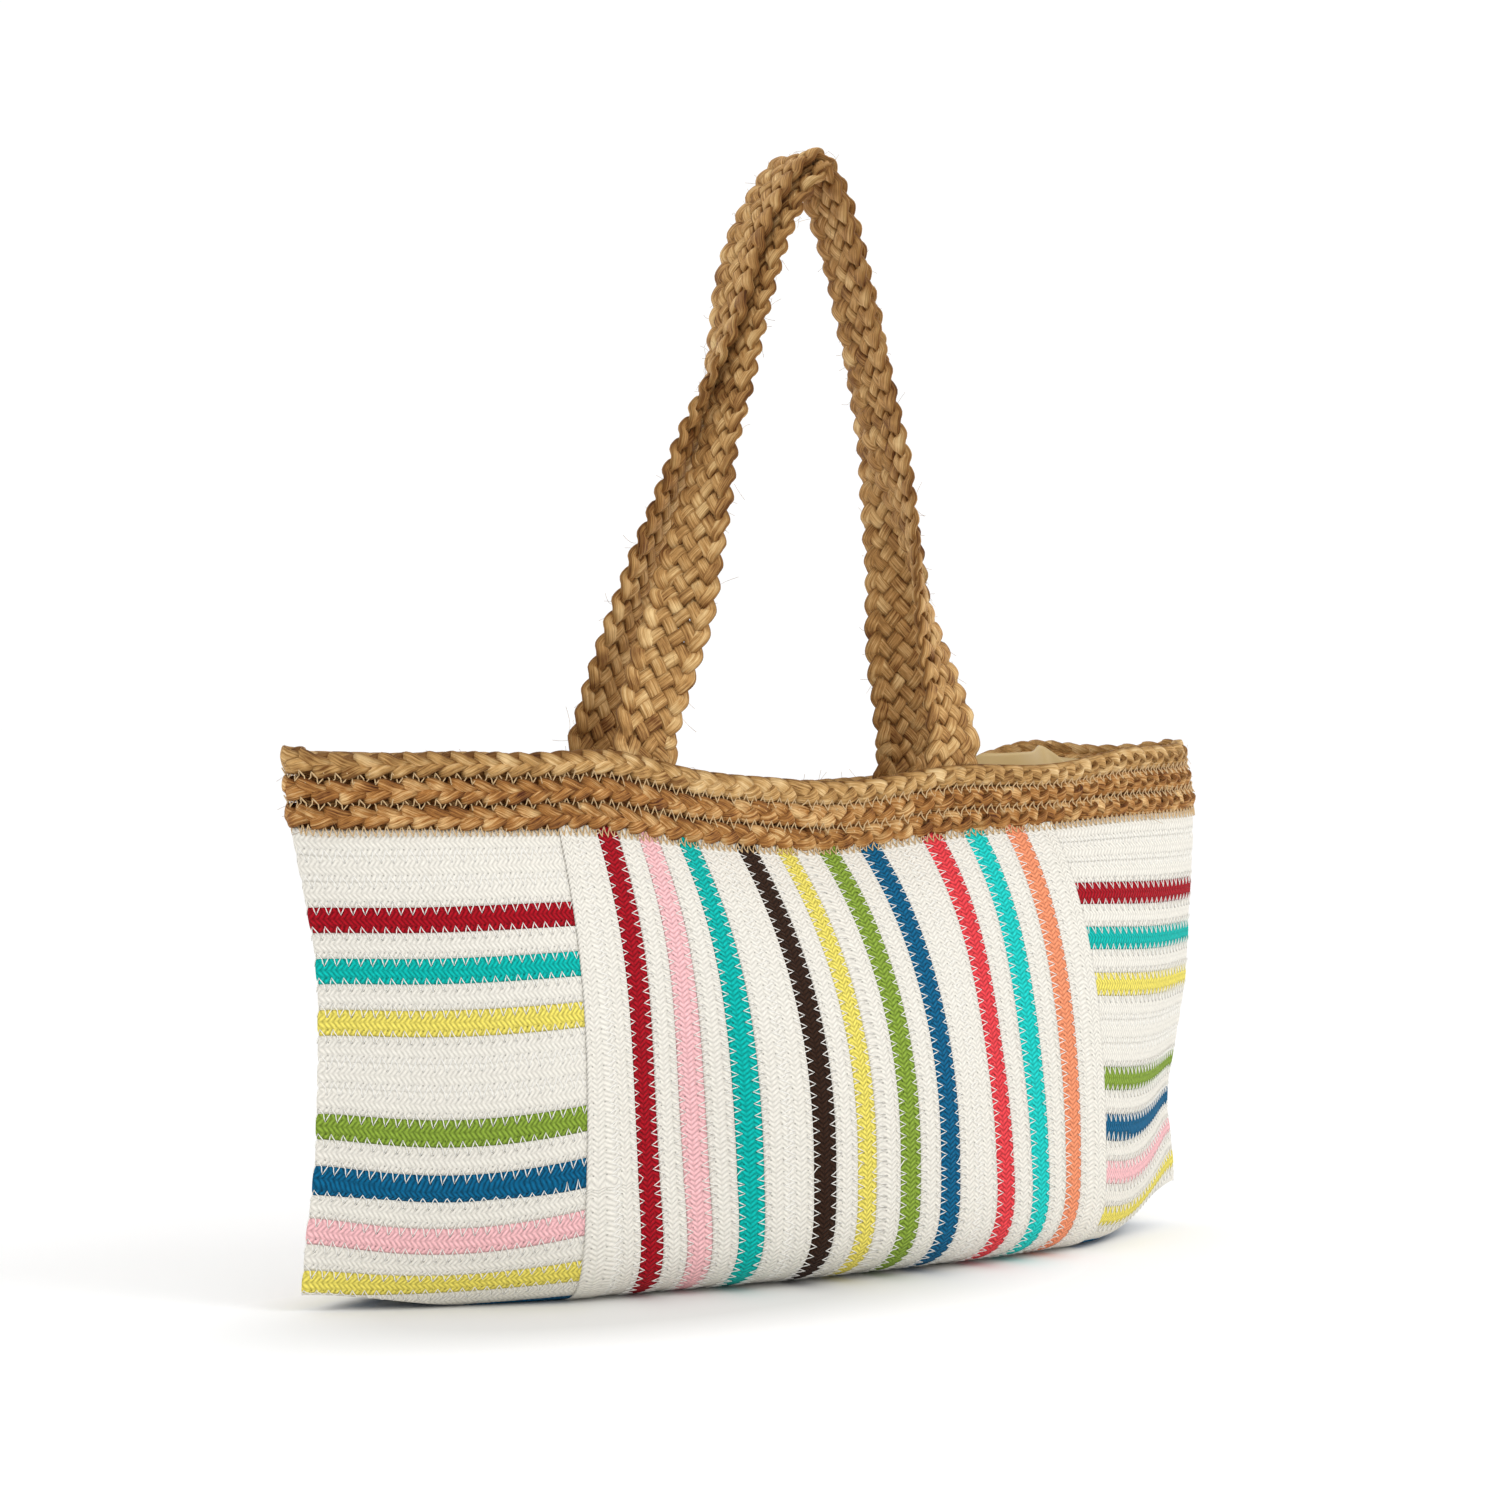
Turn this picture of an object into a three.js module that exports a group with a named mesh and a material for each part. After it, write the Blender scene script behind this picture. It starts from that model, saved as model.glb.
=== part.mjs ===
// A soft beach bag of braided tapes: two side panels, a centre panel, a braided jute band round
// the mouth, a lining and two jute handles that swing outwards. Millimetres, +Z up, front at -Y.
import * as THREE from "three";
import { mergeVertices } from "three/addons/utils/BufferGeometryUtils.js";

// Tapes
const ROW = 12; // width of one horizontal tape and of one jute row
const TAPE = 12.5; // width of one upright tape in the centre panel
const CENTRE_TAPES = 24.5;
const BAND_ROWS = 3;
const SIDE_ROWS = 18; // rows below the band that reach the end folds
const BAND = BAND_ROWS * ROW;
const WRAPPED = BAND + SIDE_ROWS * ROW; // length down the cloth before the underside starts
const GAP = 0.3; // clearance between neighbouring pieces

// The bag's outer surface
const HALF_LENGTH = 284; // from the middle to an end fold, measured along the cloth
const RIM_HEIGHT = 258;
const RIM_SAG = 14;
const RIM_SAG_WIDTH = 0.4;
const MOUTH_DEPTH = 37.5; // half depth of the mouth
const MOUTH_PINCH = 18; // how far the middle of the rim is pushed in
const MOUTH_PINCH_WIDTH = 0.42;
const BELLY_DEPTH = 88; // half depth of the bag where it is fullest
const BELLY_SLOPE = 4; // the right half is fuller than the left by this much
const BELLY_HEIGHT = 60;
const BELLY_SPRING = 2.3; // how quickly the cloth leaves the band
const END_POWER = 3;
const MOUTH_ROUND = 1.08;
const BELLY_ROUND = 2.3;
const FOLD_POWER = 4;
const FLAT = 1.5; // the underside is pressed flat on the ground by this much
const CORNER_LIFT = 22; // the right lower corner turns up
const CORNER_LIFT_HEIGHT = 60;
const CORNER_LIFT_START = 0.6; // as shares of the half length
const CORNER_LIFT_FULL = 0.95;
const BACK_LIFT = 7; // the back rim stands above the front rim, right of the middle
const BACK_LIFT_PLACE = 0.67;
const BACK_LIFT_WIDTH = 0.12;
const BACK_LIFT_LENGTH = 130;
const END_THICKNESS = 2.2; // an inner layer is this many times its depth shorter at each end

// Depths below the outer surface
const CLOTH = 3;
const GROOVE = 2;
const INLAY_TOP = 0.3;
const INLAY_BOTTOM = 1.5;
const BRAID_OUT = -1.8;
const BRAID_IN = 3.4;
const BRAID_BEVEL = 2;
const LINING_TOP = 10.6; // behind the handle ends
const LINING_LOW = 5;
const LINING_RAMP_START = 62; // length down the cloth where the lining starts to come forward
const LINING_RAMP_END = 114;
const LINING_TOP_EDGE = 1; // length down the cloth of the lining's upper edge
const LINING_THICKNESS = 0.9;

// Handles
const HANDLE_X = 96;
const HANDLE_Y = 21.5;
const HANDLE_TOP_Y = 4;
const HANDLE_TOP_Y_HEIGHT = 220;
const HINGE_Z = 255.8;
const HANDLE_RISE = 302;
const HANDLE_POWER = 1.54;
const HANDLE_LEAN = 18; // the top of the handle stands this far right of the middle
const HANDLE_LEAN_POWER = 1.2;
const TWIST_HEIGHT = 150; // the strap has turned a quarter by here
const NEST = 8; // the front handle runs inside the back handle by this much
const NEST_HEIGHT = 90;
const STRAP_WIDTH = 34;
const STRAP_THICKNESS = 6;
const STRAP_BEVEL = 3;
const STRAP_STEPS = 44;
const ROUTE_SAMPLES = 241; // must be odd, so that one of them is the top
const END_TOP = 2; // length down the cloth of a strap end's upper edge
const END_DEPTH = 37;
const END_SHIFT = 2; // the ends are this much further out than the handle's feet
const END_GAP = 1; // clearance before and behind a strap end

// Fineness
const INNER_COLUMNS = 15; // on the inside of the centre panel
const BRAID_STEPS = 26; // along half of the mouth
const LINING_STEPS = 14;
const END_STEPS = 4; // down a strap end
const LEVELS_IN_BAND = 5;
const LEVELS_IN_SIDE = 29;
const LEVELS_UNDER = 41;
const WIDTH_ROUNDS = 8;
const SAMPLES = 96; // columns of the surface's tables
const WELD = 1e-3; // points nearer than this are one point

const gauss = (x) => Math.exp(-x * x);
const lerp = (a, b, k) => a + (b - a) * k;
const range = (count, from, to) =>
  Array.from({ length: count }, (_, i) => lerp(from, to, i / (count - 1)));
const { smoothstep, clamp } = THREE.MathUtils;

// The width of the bag at each level is not known until its tapes are laid, so it is a parameter.
// turn: -90 to 90 degrees along the bag; level: 0 to 1 down the band, to 2 down the side, to 3 under it.
function section(turn, level, depth, halfWidth) {
  const cosine = Math.max(Math.cos(turn), 0);
  const along = Math.sign(turn) * Math.abs(Math.sin(turn)) ** (2 / END_POWER);
  const mouthRound = cosine ** MOUTH_ROUND;
  const bellyRound = cosine ** BELLY_ROUND;
  const pinch = MOUTH_PINCH * gauss(along / MOUTH_PINCH_WIDTH) * cosine;
  const mouth = (MOUTH_DEPTH - depth) * mouthRound - pinch;
  const belly = (BELLY_DEPTH + BELLY_SLOPE * along - depth) * bellyRound;
  const rim = RIM_HEIGHT - RIM_SAG * gauss(along / RIM_SAG_WIDTH);
  const bandFoot = rim - BAND;
  let y = mouth;
  let z = rim - BAND * level;
  if (level > 2) {
    const q = (level - 2) * Math.PI / 2;
    y = belly * Math.max(Math.cos(q), 0) ** (2 / FOLD_POWER);
    z = BELLY_HEIGHT * (1 - Math.sin(q) ** (2 / FOLD_POWER));
  } else if (level > 1) {
    const s = level - 1;
    const ease = s * s * (3 - 2 * s);
    const leave = s * (1 - s) ** 2;
    const arrive = s * s * (s - 1);
    y = lerp(mouth, belly, ease) + leave * BELLY_SPRING * (belly - mouth);
    z = lerp(bandFoot, BELLY_HEIGHT, ease) - (leave + arrive) * (bandFoot - BELLY_HEIGHT);
  }
  z = Math.max(0, z - FLAT) * RIM_HEIGHT / (RIM_HEIGHT - FLAT);
  z += depth * (1 - z / RIM_HEIGHT);
  return new THREE.Vector3(along * (halfWidth - END_THICKNESS * depth), -y, z);
}

// Tables that keep every tape its own width: cloth length along the bag, then down it.
const levels = [
  ...range(LEVELS_IN_BAND, 0, 1),
  ...range(LEVELS_IN_SIDE, 1, 2).slice(1),
  ...range(LEVELS_UNDER, 2, 3).slice(1),
];
const turns = range(SAMPLES * 2 + 1, -Math.PI / 2, Math.PI / 2);
const columns = range(SAMPLES + 1, -1, 1);

function runningLength(points) {
  const length = [0];
  for (let i = 1; i < points.length; i++) {
    length.push(length[i - 1] + points[i].distanceTo(points[i - 1]));
  }
  return length;
}

function lookUp(keys, values, key) {
  let i = 1;
  while (i < keys.length - 1 && keys[i] < key) i++;
  const span = keys[i] - keys[i - 1];
  return lerp(values[i - 1], values[i], span ? clamp((key - keys[i - 1]) / span, 0, 1) : 0);
}

function halfWidthAt(level) {
  let halfWidth = HALF_LENGTH;
  for (let round = 0; round < WIDTH_ROUNDS; round++) {
    const row = turns.map((turn) => section(turn, level, 0, halfWidth));
    halfWidth *= (2 * HALF_LENGTH) / runningLength(row).at(-1);
  }
  return halfWidth;
}

const halfWidths = levels.map((level) => halfWidthAt(Math.min(level, 2)));
const turnTable = levels.map((level, j) => {
  const lengths = runningLength(turns.map((turn) => section(turn, level, 0, halfWidths[j])));
  return columns.map((column) => lookUp(lengths, turns, (column + 1) / 2 * lengths.at(-1)));
});
const lengthTable = columns.map((_, i) =>
  runningLength(levels.map((level, j) => section(turnTable[j][i], level, 0, halfWidths[j]))));

// A point of the cloth. along: -1 to 1; down: length below the rim, and past WRAPPED a share of
// the underside, 0 to 1, added to it; depth: below the outer surface; face: 1 front, -1 back.
function place(along, down, depth, face) {
  const position = clamp((along + 1) / 2 * SAMPLES, 0, SAMPLES);
  const i = Math.min(Math.floor(position), SAMPLES - 1);
  const k = position - i;
  const levelIn = (column) => {
    if (down >= WRAPPED + 1) return levels.at(-1);
    const lengths = lengthTable[column];
    const wanted = down > WRAPPED ? lerp(WRAPPED, lengths.at(-1), down - WRAPPED) : down;
    return lookUp(lengths, levels, wanted);
  };
  const level = lerp(levelIn(i), levelIn(i + 1), k);
  const turnIn = (column) => lookUp(levels, turnTable.map((row) => row[column]), level);
  const turn = lerp(turnIn(i), turnIn(i + 1), k);
  const point = section(turn, level, depth, lookUp(levels, halfWidths, level));
  const outward = smoothstep(point.x / HALF_LENGTH, CORNER_LIFT_START, CORNER_LIFT_FULL);
  point.z += CORNER_LIFT * outward * gauss(point.z / CORNER_LIFT_HEIGHT);
  if (face < 0) {
    const fade = Math.max(0, 1 - down / BACK_LIFT_LENGTH) ** 2;
    point.z += BACK_LIFT * gauss((along - BACK_LIFT_PLACE) / BACK_LIFT_WIDTH) * fade;
    point.y *= -1;
  }
  return point;
}

// One closed solid from a row of cross-sections that all have the same number of points.
// ring: the sections close on themselves; loop: the last section joins the first.
// A section runs out along its first points, up to split, and back along the rest. places says how
// far along each point is, and the ends that are not looped are laced up from one side to the other.
function sweep(sections, { ring = true, loop = false, places = [], split = 0 }) {
  const size = sections[0].length;
  const points = sections.flat();
  const faces = [];
  const last = loop ? sections.length : sections.length - 1;
  for (let i = 0; i < last; i++) {
    const here = i * size;
    const next = ((i + 1) % sections.length) * size;
    for (let j = 0; j < (ring ? size : size - 1); j++) {
      const k = (j + 1) % size;
      const [a, b, c, d] = [here + j, next + j, next + k, here + k];
      const shorter = points[a].distanceTo(points[c]) < points[b].distanceTo(points[d]);
      faces.push(...(shorter ? [[a, b, c], [a, c, d]] : [[a, b, d], [b, c, d]]));
    }
  }
  if (!loop) {
    const end = (sections.length - 1) * size;
    for (const [a, b, c] of lace(places, split)) {
      faces.push([a, b, c], [end + a, end + c, end + b]);
    }
  }
  return weld(points, faces);
}

// Triangles that close a cross-section, from one side to the other.
function lace(places, split) {
  const reach = (i) => Math.abs(places[i] - places[0]);
  const faces = [];
  let out = 0;
  let back = places.length - 1;
  while (out < split - 1 || back > split) {
    if (back === split || (out < split - 1 && reach(out + 1) <= reach(back - 1))) {
      faces.push([out, out + 1, back]);
      out += 1;
    } else {
      faces.push([out, back - 1, back]);
      back -= 1;
    }
  }
  return faces;
}

// Joins equal points, drops faces that have closed up or lie back to back, and turns the rest outwards.
function weld(points, faces) {
  const loose = new THREE.BufferGeometry();
  loose.setAttribute("position", new THREE.Float32BufferAttribute(points.flatMap((p) => p.toArray()), 3));
  loose.setIndex(faces.flat());
  const joined = mergeVertices(loose, WELD);
  const index = joined.index.array;
  const kept = new Map();
  for (let i = 0; i < index.length; i += 3) {
    const face = [...index.slice(i, i + 3)];
    if (new Set(face).size < 3) continue;
    const key = [...face].sort((a, b) => a - b).join();
    if (!kept.delete(key)) kept.set(key, face);
  }
  const point = joined.getAttribute("position");
  const corners = (face) => face.map((n) => new THREE.Vector3().fromBufferAttribute(point, n));
  const signed = ([a, b, c]) => a.dot(b.cross(c));
  const outer = [...kept.values()];
  const volume = outer.reduce((sum, face) => sum + signed(corners(face)), 0);
  joined.setIndex((volume < 0 ? outer.map(([a, b, c]) => [a, c, b]) : outer).flat());
  return joined;
}

const bag = new THREE.Group();

function add(name, geometry, colour, roughness) {
  const material = new THREE.MeshStandardMaterial({ color: colour, roughness, metalness: 0 });
  const mesh = new THREE.Mesh(geometry, material);
  mesh.name = name;
  bag.add(mesh);
}

// Colours
const WHITE = "#efede1";
const DARK_RED = "#ae232d";
const TEAL = "#12bfb7";
const YELLOW = "#eae184";
const GREEN = "#89a551";
const BLUE = "#266e91";
const PINK = "#e4acad";
const BROWN = "#392820";
const CORAL = "#e1464f";
const ORANGE = "#e99371";
const JUTE = "#b18b5e";
const KHAKI = "#b1915c";
const CLOTH_ROUGHNESS = 0.9;
const JUTE_ROUGHNESS = 0.85;
const SATIN_ROUGHNESS = 0.45;

const SEAM = CENTRE_TAPES * TAPE / 2; // from the middle to a side seam
const CENTRE_TAPE_PLACES = {
  dark_red: [2, DARK_RED], pink: [4, PINK], teal: [6, TEAL], brown: [9, BROWN], yellow: [11, YELLOW],
  green: [13, GREEN], blue: [15, BLUE], coral: [18, CORAL], light_teal: [20, TEAL], orange: [22, ORANGE],
};
const SIDE_TAPE_PLACES = {
  dark_red: [3, DARK_RED], teal: [5, TEAL], yellow: [7, YELLOW], green: [11, GREEN],
  blue: [13, BLUE], pink: [15, PINK], low_yellow: [17, YELLOW],
};

// Steps down the front, under the bag and up the back, as [down, face]
const underShares = [0.15, 0.3, 0.5, 0.75, 1];
const frontSteps = [BAND + GAP, 62, 88, 114, 140, 166, 190, 210, 228, 242, WRAPPED];
const downSteps = [...frontSteps, ...underShares.map((share) => WRAPPED + share)].map((down) => [down, 1]);
const aroundSteps = [...downSteps, ...downSteps.slice(0, -1).reverse().map(([down]) => [down, -1])];

// A profile of [along, depth] points, run down the front, under the bag and up the back.
function strip(profile, split) {
  const sections = aroundSteps.map(([down, face]) =>
    profile.map(([along, depth]) => place(along, down, depth, face)));
  return sweep(sections, { places: profile.map(([along]) => along), split });
}

function centrePanel() {
  const edge = (SEAM - GAP) / HALF_LENGTH;
  const outer = [[-edge, 0]];
  for (const [tape] of Object.values(CENTRE_TAPE_PLACES)) {
    const left = (tape * TAPE - SEAM) / HALF_LENGTH;
    const right = left + TAPE / HALF_LENGTH;
    outer.push([left, 0], [left, GROOVE], [right, GROOVE], [right, 0]);
  }
  outer.push([edge, 0]);
  const inner = range(INNER_COLUMNS, edge, -edge).map((along) => [along, CLOTH]);
  return strip([...outer, ...inner], outer.length);
}

function centreTape(tape) {
  const left = (tape * TAPE - SEAM + GAP) / HALF_LENGTH;
  const right = (tape * TAPE - SEAM + TAPE - GAP) / HALF_LENGTH;
  return strip([[left, INLAY_TOP], [right, INLAY_TOP], [right, INLAY_BOTTOM], [left, INLAY_BOTTOM]], 2);
}

// Steps from the front seam round an end fold to the back seam, as [along, face]
const endShares = [0, 0.2, 0.4, 0.6, 0.75, 0.87, 0.95, 0.985, 1];

function endSteps(side) {
  const seam = (SEAM + GAP) / HALF_LENGTH;
  const front = endShares.map((share) => [side * lerp(seam, 1, share), 1]);
  return [...front, ...front.slice(0, -1).reverse().map(([along]) => [along, -1])];
}

function sidePanel(side) {
  const outer = [[BAND + GAP, 0]];
  for (const [row] of Object.values(SIDE_TAPE_PLACES)) {
    const top = BAND + row * ROW;
    outer.push([top, 0], [top, GROOVE], [top + ROW, GROOVE], [top + ROW, 0]);
  }
  outer.push(...underShares.map((share) => [WRAPPED + share, 0]));
  const inner = [...frontSteps, ...underShares.map((share) => WRAPPED + share)].map((down) => [down, CLOTH]);
  const profile = [...outer.reverse(), ...inner];
  const sections = endSteps(side).map(([along, face]) =>
    profile.map(([down, depth]) => place(along, down, depth, face)));
  return sweep(sections, { ring: false, places: profile.map(([down]) => down), split: outer.length });
}

function sideTape(side, row) {
  const top = BAND + row * ROW + GAP;
  const bottom = top + ROW - 2 * GAP;
  const profile = [[top, INLAY_TOP], [bottom, INLAY_TOP], [bottom, INLAY_BOTTOM], [top, INLAY_BOTTOM]];
  const sections = endSteps(side).map(([along, face]) =>
    profile.map(([down, depth]) => place(along, down, depth, face)));
  return sweep(sections, { places: profile.map(([down]) => down), split: 2 });
}

// Steps once round the mouth, as [along, face]
function mouthSteps(count) {
  const front = range(count + 1, -Math.PI / 2, Math.PI / 2).map((turn) => [Math.sin(turn), 1]);
  return [...front, ...front.slice(1, -1).reverse().map(([along]) => [along, -1])];
}

function bandRow(row) {
  const top = row * ROW;
  const bottom = top + ROW - GAP;
  const profile = [
    [top, 0], [top + BRAID_BEVEL, BRAID_OUT], [bottom - BRAID_BEVEL, BRAID_OUT],
    [bottom, 0], [bottom, BRAID_IN], [top, BRAID_IN],
  ];
  const sections = mouthSteps(BRAID_STEPS).map(([along, face]) =>
    profile.map(([down, depth]) => place(along, down, depth, face)));
  return sweep(sections, { loop: true });
}

function lining() {
  const downs = [LINING_TOP_EDGE, BAND / 2, ...downSteps.map(([down]) => down)];
  const ramp = LINING_RAMP_END - LINING_RAMP_START;
  const depthAt = (down) => lerp(LINING_TOP, LINING_LOW, clamp((down - LINING_RAMP_START) / ramp, 0, 1));
  const outer = downs.map((down) => [down, depthAt(down)]);
  const inner = downs.map((down) => [down, depthAt(down) + LINING_THICKNESS]);
  const profile = [...outer.reverse(), ...inner];
  const sections = mouthSteps(LINING_STEPS).map(([along, face]) =>
    profile.map(([down, depth]) => place(along, down, depth, face)));
  return sweep(sections, { ring: false, loop: true });
}

// The route of a handle's middle line, from its left foot over the top to its right foot.
function handleRoute(face) {
  const route = range(ROUTE_SAMPLES, -1, 1).map((share) => {
    const rise = 1 - Math.abs(share) ** HANDLE_POWER;
    const lean = HANDLE_LEAN * rise ** HANDLE_LEAN_POWER;
    return new THREE.Vector3(HANDLE_X * share + lean, 0, HANDLE_RISE * rise);
  });
  const lengths = runningLength(route);
  const across = route.map((point) => point.x);
  const upwards = route.map((point) => point.z);
  const even = range(STRAP_STEPS + 1, 0, lengths.at(-1)).map((length) =>
    new THREE.Vector3(lookUp(lengths, across, length), 0, lookUp(lengths, upwards, length)));
  const curve = new THREE.CatmullRomCurve3(even);
  return range(STRAP_STEPS + 1, 0, 1).map((share) => {
    const point = curve.getPoint(share);
    const tangent = curve.getTangent(share);
    const inward = new THREE.Vector3(tangent.z, 0, -tangent.x);
    const nest = face > 0 ? NEST * smoothstep(point.z, 0, NEST_HEIGHT) : 0;
    const spread = lerp(HANDLE_Y, HANDLE_TOP_Y, clamp(point.z / HANDLE_TOP_Y_HEIGHT, 0, 1));
    const flip = share < 0.5 ? 1 : -1;
    const twist = -flip * face * Math.PI / 2 * Math.min(1, point.z / TWIST_HEIGHT);
    point.addScaledVector(inward, nest);
    point.y = -face * spread;
    point.z += HINGE_Z;
    return { point, tangent, twist, flip };
  });
}

// The strap's width turns from lengthwise at the feet to crosswise at the top.
function handle(face) {
  const half = STRAP_WIDTH / 2;
  const thick = STRAP_THICKNESS / 2;
  const bevel = half - STRAP_BEVEL;
  const profile = [
    [-half, 0], [-bevel, thick], [bevel, thick], [half, 0], [bevel, -thick], [-bevel, -thick],
  ];
  const sections = handleRoute(face).map(({ point, tangent, twist, flip }) => {
    const width = new THREE.Vector3(Math.cos(twist), Math.sin(twist), 0).multiplyScalar(flip);
    width.addScaledVector(tangent, -width.dot(tangent)).normalize();
    const normal = new THREE.Vector3().crossVectors(tangent, width);
    return profile.map(([across, out]) =>
      point.clone().addScaledVector(width, across).addScaledVector(normal, out));
  });
  return sweep(sections, { places: profile.map(([across]) => across), split: 3 });
}

// The fixed end of a strap, between the band and the lining.
function handleEnd(side, face) {
  const half = STRAP_WIDTH / 2 / HALF_LENGTH;
  const middle = side * (HANDLE_X + END_SHIFT) / HALF_LENGTH;
  const outer = BRAID_IN + END_GAP;
  const inner = LINING_TOP - END_GAP;
  const profile = [
    [middle - half, outer], [middle, outer], [middle + half, outer],
    [middle + half, inner], [middle, inner], [middle - half, inner],
  ];
  const sections = range(END_STEPS, END_TOP, END_DEPTH).map((down) =>
    profile.map(([along, depth]) => place(along, down, depth, face)));
  return sweep(sections, { places: profile.map(([along]) => along), split: 3 });
}

add("centre_panel", centrePanel(), WHITE, CLOTH_ROUGHNESS);
for (const [name, [tape, colour]] of Object.entries(CENTRE_TAPE_PLACES)) {
  add(`centre_tape_${name}`, centreTape(tape), colour, CLOTH_ROUGHNESS);
}
for (const [name, side] of [["left", -1], ["right", 1]]) {
  add(`${name}_side_panel`, sidePanel(side), WHITE, CLOTH_ROUGHNESS);
  for (const [tape, [row, colour]] of Object.entries(SIDE_TAPE_PLACES)) {
    add(`${name}_side_tape_${tape}`, sideTape(side, row), colour, CLOTH_ROUGHNESS);
  }
}
for (const [row, name] of ["top", "middle", "lower"].entries()) {
  add(`rim_braid_${name}`, bandRow(row), JUTE, JUTE_ROUGHNESS);
}
add("lining", lining(), KHAKI, SATIN_ROUGHNESS);
for (const [name, face] of [["front", 1], ["back", -1]]) {
  add(`${name}_handle`, handle(face), JUTE, JUTE_ROUGHNESS);
  add(`${name}_handle_left_end`, handleEnd(-1, face), JUTE, JUTE_ROUGHNESS);
  add(`${name}_handle_right_end`, handleEnd(1, face), JUTE, JUTE_ROUGHNESS);
}

export default bag;
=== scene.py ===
# %% [markdown]
# # A striped beach bag with a plaited jute rim
# The bag is sewn from flat cotton braids, half an inch wide, laid edge to edge and joined with a
# zigzag. The mouth is three rows of jute plait, and the handles are two flat jute plaits. Everything
# here is real geometry laid on one formula for the bag's skin, the same one that the frame has.

# %% Load the fixed frame
import math

import bpy
import numpy as np
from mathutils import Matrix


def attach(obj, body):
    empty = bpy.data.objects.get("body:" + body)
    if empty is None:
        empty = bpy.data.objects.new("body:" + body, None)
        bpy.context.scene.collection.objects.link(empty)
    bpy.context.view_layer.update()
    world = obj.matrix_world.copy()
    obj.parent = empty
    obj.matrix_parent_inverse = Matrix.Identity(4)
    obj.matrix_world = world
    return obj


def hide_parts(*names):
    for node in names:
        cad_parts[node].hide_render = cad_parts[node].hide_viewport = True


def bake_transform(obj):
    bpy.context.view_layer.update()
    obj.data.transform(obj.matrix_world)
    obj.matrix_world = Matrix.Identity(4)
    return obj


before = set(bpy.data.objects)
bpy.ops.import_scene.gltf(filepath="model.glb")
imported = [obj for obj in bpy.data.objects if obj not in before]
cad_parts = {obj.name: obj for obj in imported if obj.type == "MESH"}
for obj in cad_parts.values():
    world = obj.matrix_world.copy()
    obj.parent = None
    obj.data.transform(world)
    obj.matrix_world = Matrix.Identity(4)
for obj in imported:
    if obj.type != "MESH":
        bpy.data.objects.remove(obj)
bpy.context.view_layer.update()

MM = 0.001
random = np.random.default_rng(7)

# %% [markdown]
# ## The skin of the bag
# A full bag isn't a box. Cloth can't stretch, so where the belly swells the ends are pulled in, and
# every tape keeps its own width. I could sculpt that by eye, but then no two tapes would agree.
# Instead the skin is a formula: a cross-section at each level, and tables that turn a length of tape
# into a place. All later pieces only say how far along, how far down and how deep they lie.

# %% Driving sizes, in millimetres
ROW = 12.0
TAPE = 12.5
CENTRE_TAPES = 24.5
BAND = 3 * ROW
SIDE_ROWS = 18
WRAPPED = BAND + SIDE_ROWS * ROW
HALF_LENGTH = 284.0
SEAM = CENTRE_TAPES * TAPE / 2
RIM_HEIGHT = 258.0
RIM_SAG, RIM_SAG_WIDTH = 14.0, 0.4
MOUTH_DEPTH, MOUTH_PINCH, MOUTH_PINCH_WIDTH = 37.5, 18.0, 0.42
BELLY_DEPTH, BELLY_SLOPE, BELLY_HEIGHT, BELLY_SPRING = 88.0, 4.0, 60.0, 2.3
END_POWER, MOUTH_ROUND, BELLY_ROUND, FOLD_POWER = 3, 1.08, 2.3, 4
FLAT = 1.5
CORNER_LIFT, CORNER_LIFT_HEIGHT = 22.0, 60.0
BACK_LIFT, BACK_LIFT_PLACE, BACK_LIFT_WIDTH, BACK_LIFT_LENGTH = 7.0, 0.67, 0.12, 130.0
END_THICKNESS = 2.2


# %% Small helpers
def gauss(x):
    return np.exp(-x * x)


def smoothstep(x, low, high):
    t = np.clip((x - low) / (high - low), 0, 1)
    return t * t * (3 - 2 * t)


def mix(a, b, k):
    return a + (b - a) * k


def lengths_along(points):
    """Running length down the first axis of an array of points."""
    steps = np.linalg.norm(np.diff(points, axis=0), axis=-1)
    return np.concatenate([np.zeros((1,) + steps.shape[1:]), np.cumsum(steps, 0)])


# %% The cross-section formula
def section(turn, level, depth, half_width):
    """Level 0 to 1 runs down the band, to 2 down the side, to 3 under the bag."""
    turn, level, depth, half_width = np.broadcast_arrays(turn, level, depth, half_width)
    cosine = np.maximum(np.cos(turn), 0)
    along = np.sign(turn) * np.abs(np.sin(turn)) ** (2 / END_POWER)
    pinch = MOUTH_PINCH * gauss(along / MOUTH_PINCH_WIDTH) * cosine
    mouth = (MOUTH_DEPTH - depth) * cosine ** MOUTH_ROUND - pinch
    belly = (BELLY_DEPTH + BELLY_SLOPE * along - depth) * cosine ** BELLY_ROUND
    rim = RIM_HEIGHT - RIM_SAG * gauss(along / RIM_SAG_WIDTH)
    foot = rim - BAND
    s = np.clip(level - 1, 0, 1)
    ease, leave, arrive = s * s * (3 - 2 * s), s * (1 - s) ** 2, s * s * (s - 1)
    side_y = mix(mouth, belly, ease) + leave * BELLY_SPRING * (belly - mouth)
    side_z = mix(foot, BELLY_HEIGHT, ease) - (leave + arrive) * (foot - BELLY_HEIGHT)
    q = np.clip(level - 2, 0, 1) * math.pi / 2
    under_y = belly * np.maximum(np.cos(q), 0) ** (2 / FOLD_POWER)
    under_z = BELLY_HEIGHT * (1 - np.sin(q) ** (2 / FOLD_POWER))
    y = np.where(level > 2, under_y, np.where(level > 1, side_y, mouth))
    z = np.where(level > 2, under_z, np.where(level > 1, side_z, rim - BAND * level))
    z = np.maximum(0, z - FLAT) * RIM_HEIGHT / (RIM_HEIGHT - FLAT)
    z = z + depth * (1 - z / RIM_HEIGHT)
    return np.stack([along * (half_width - END_THICKNESS * depth), -y, z], -1)


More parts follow.
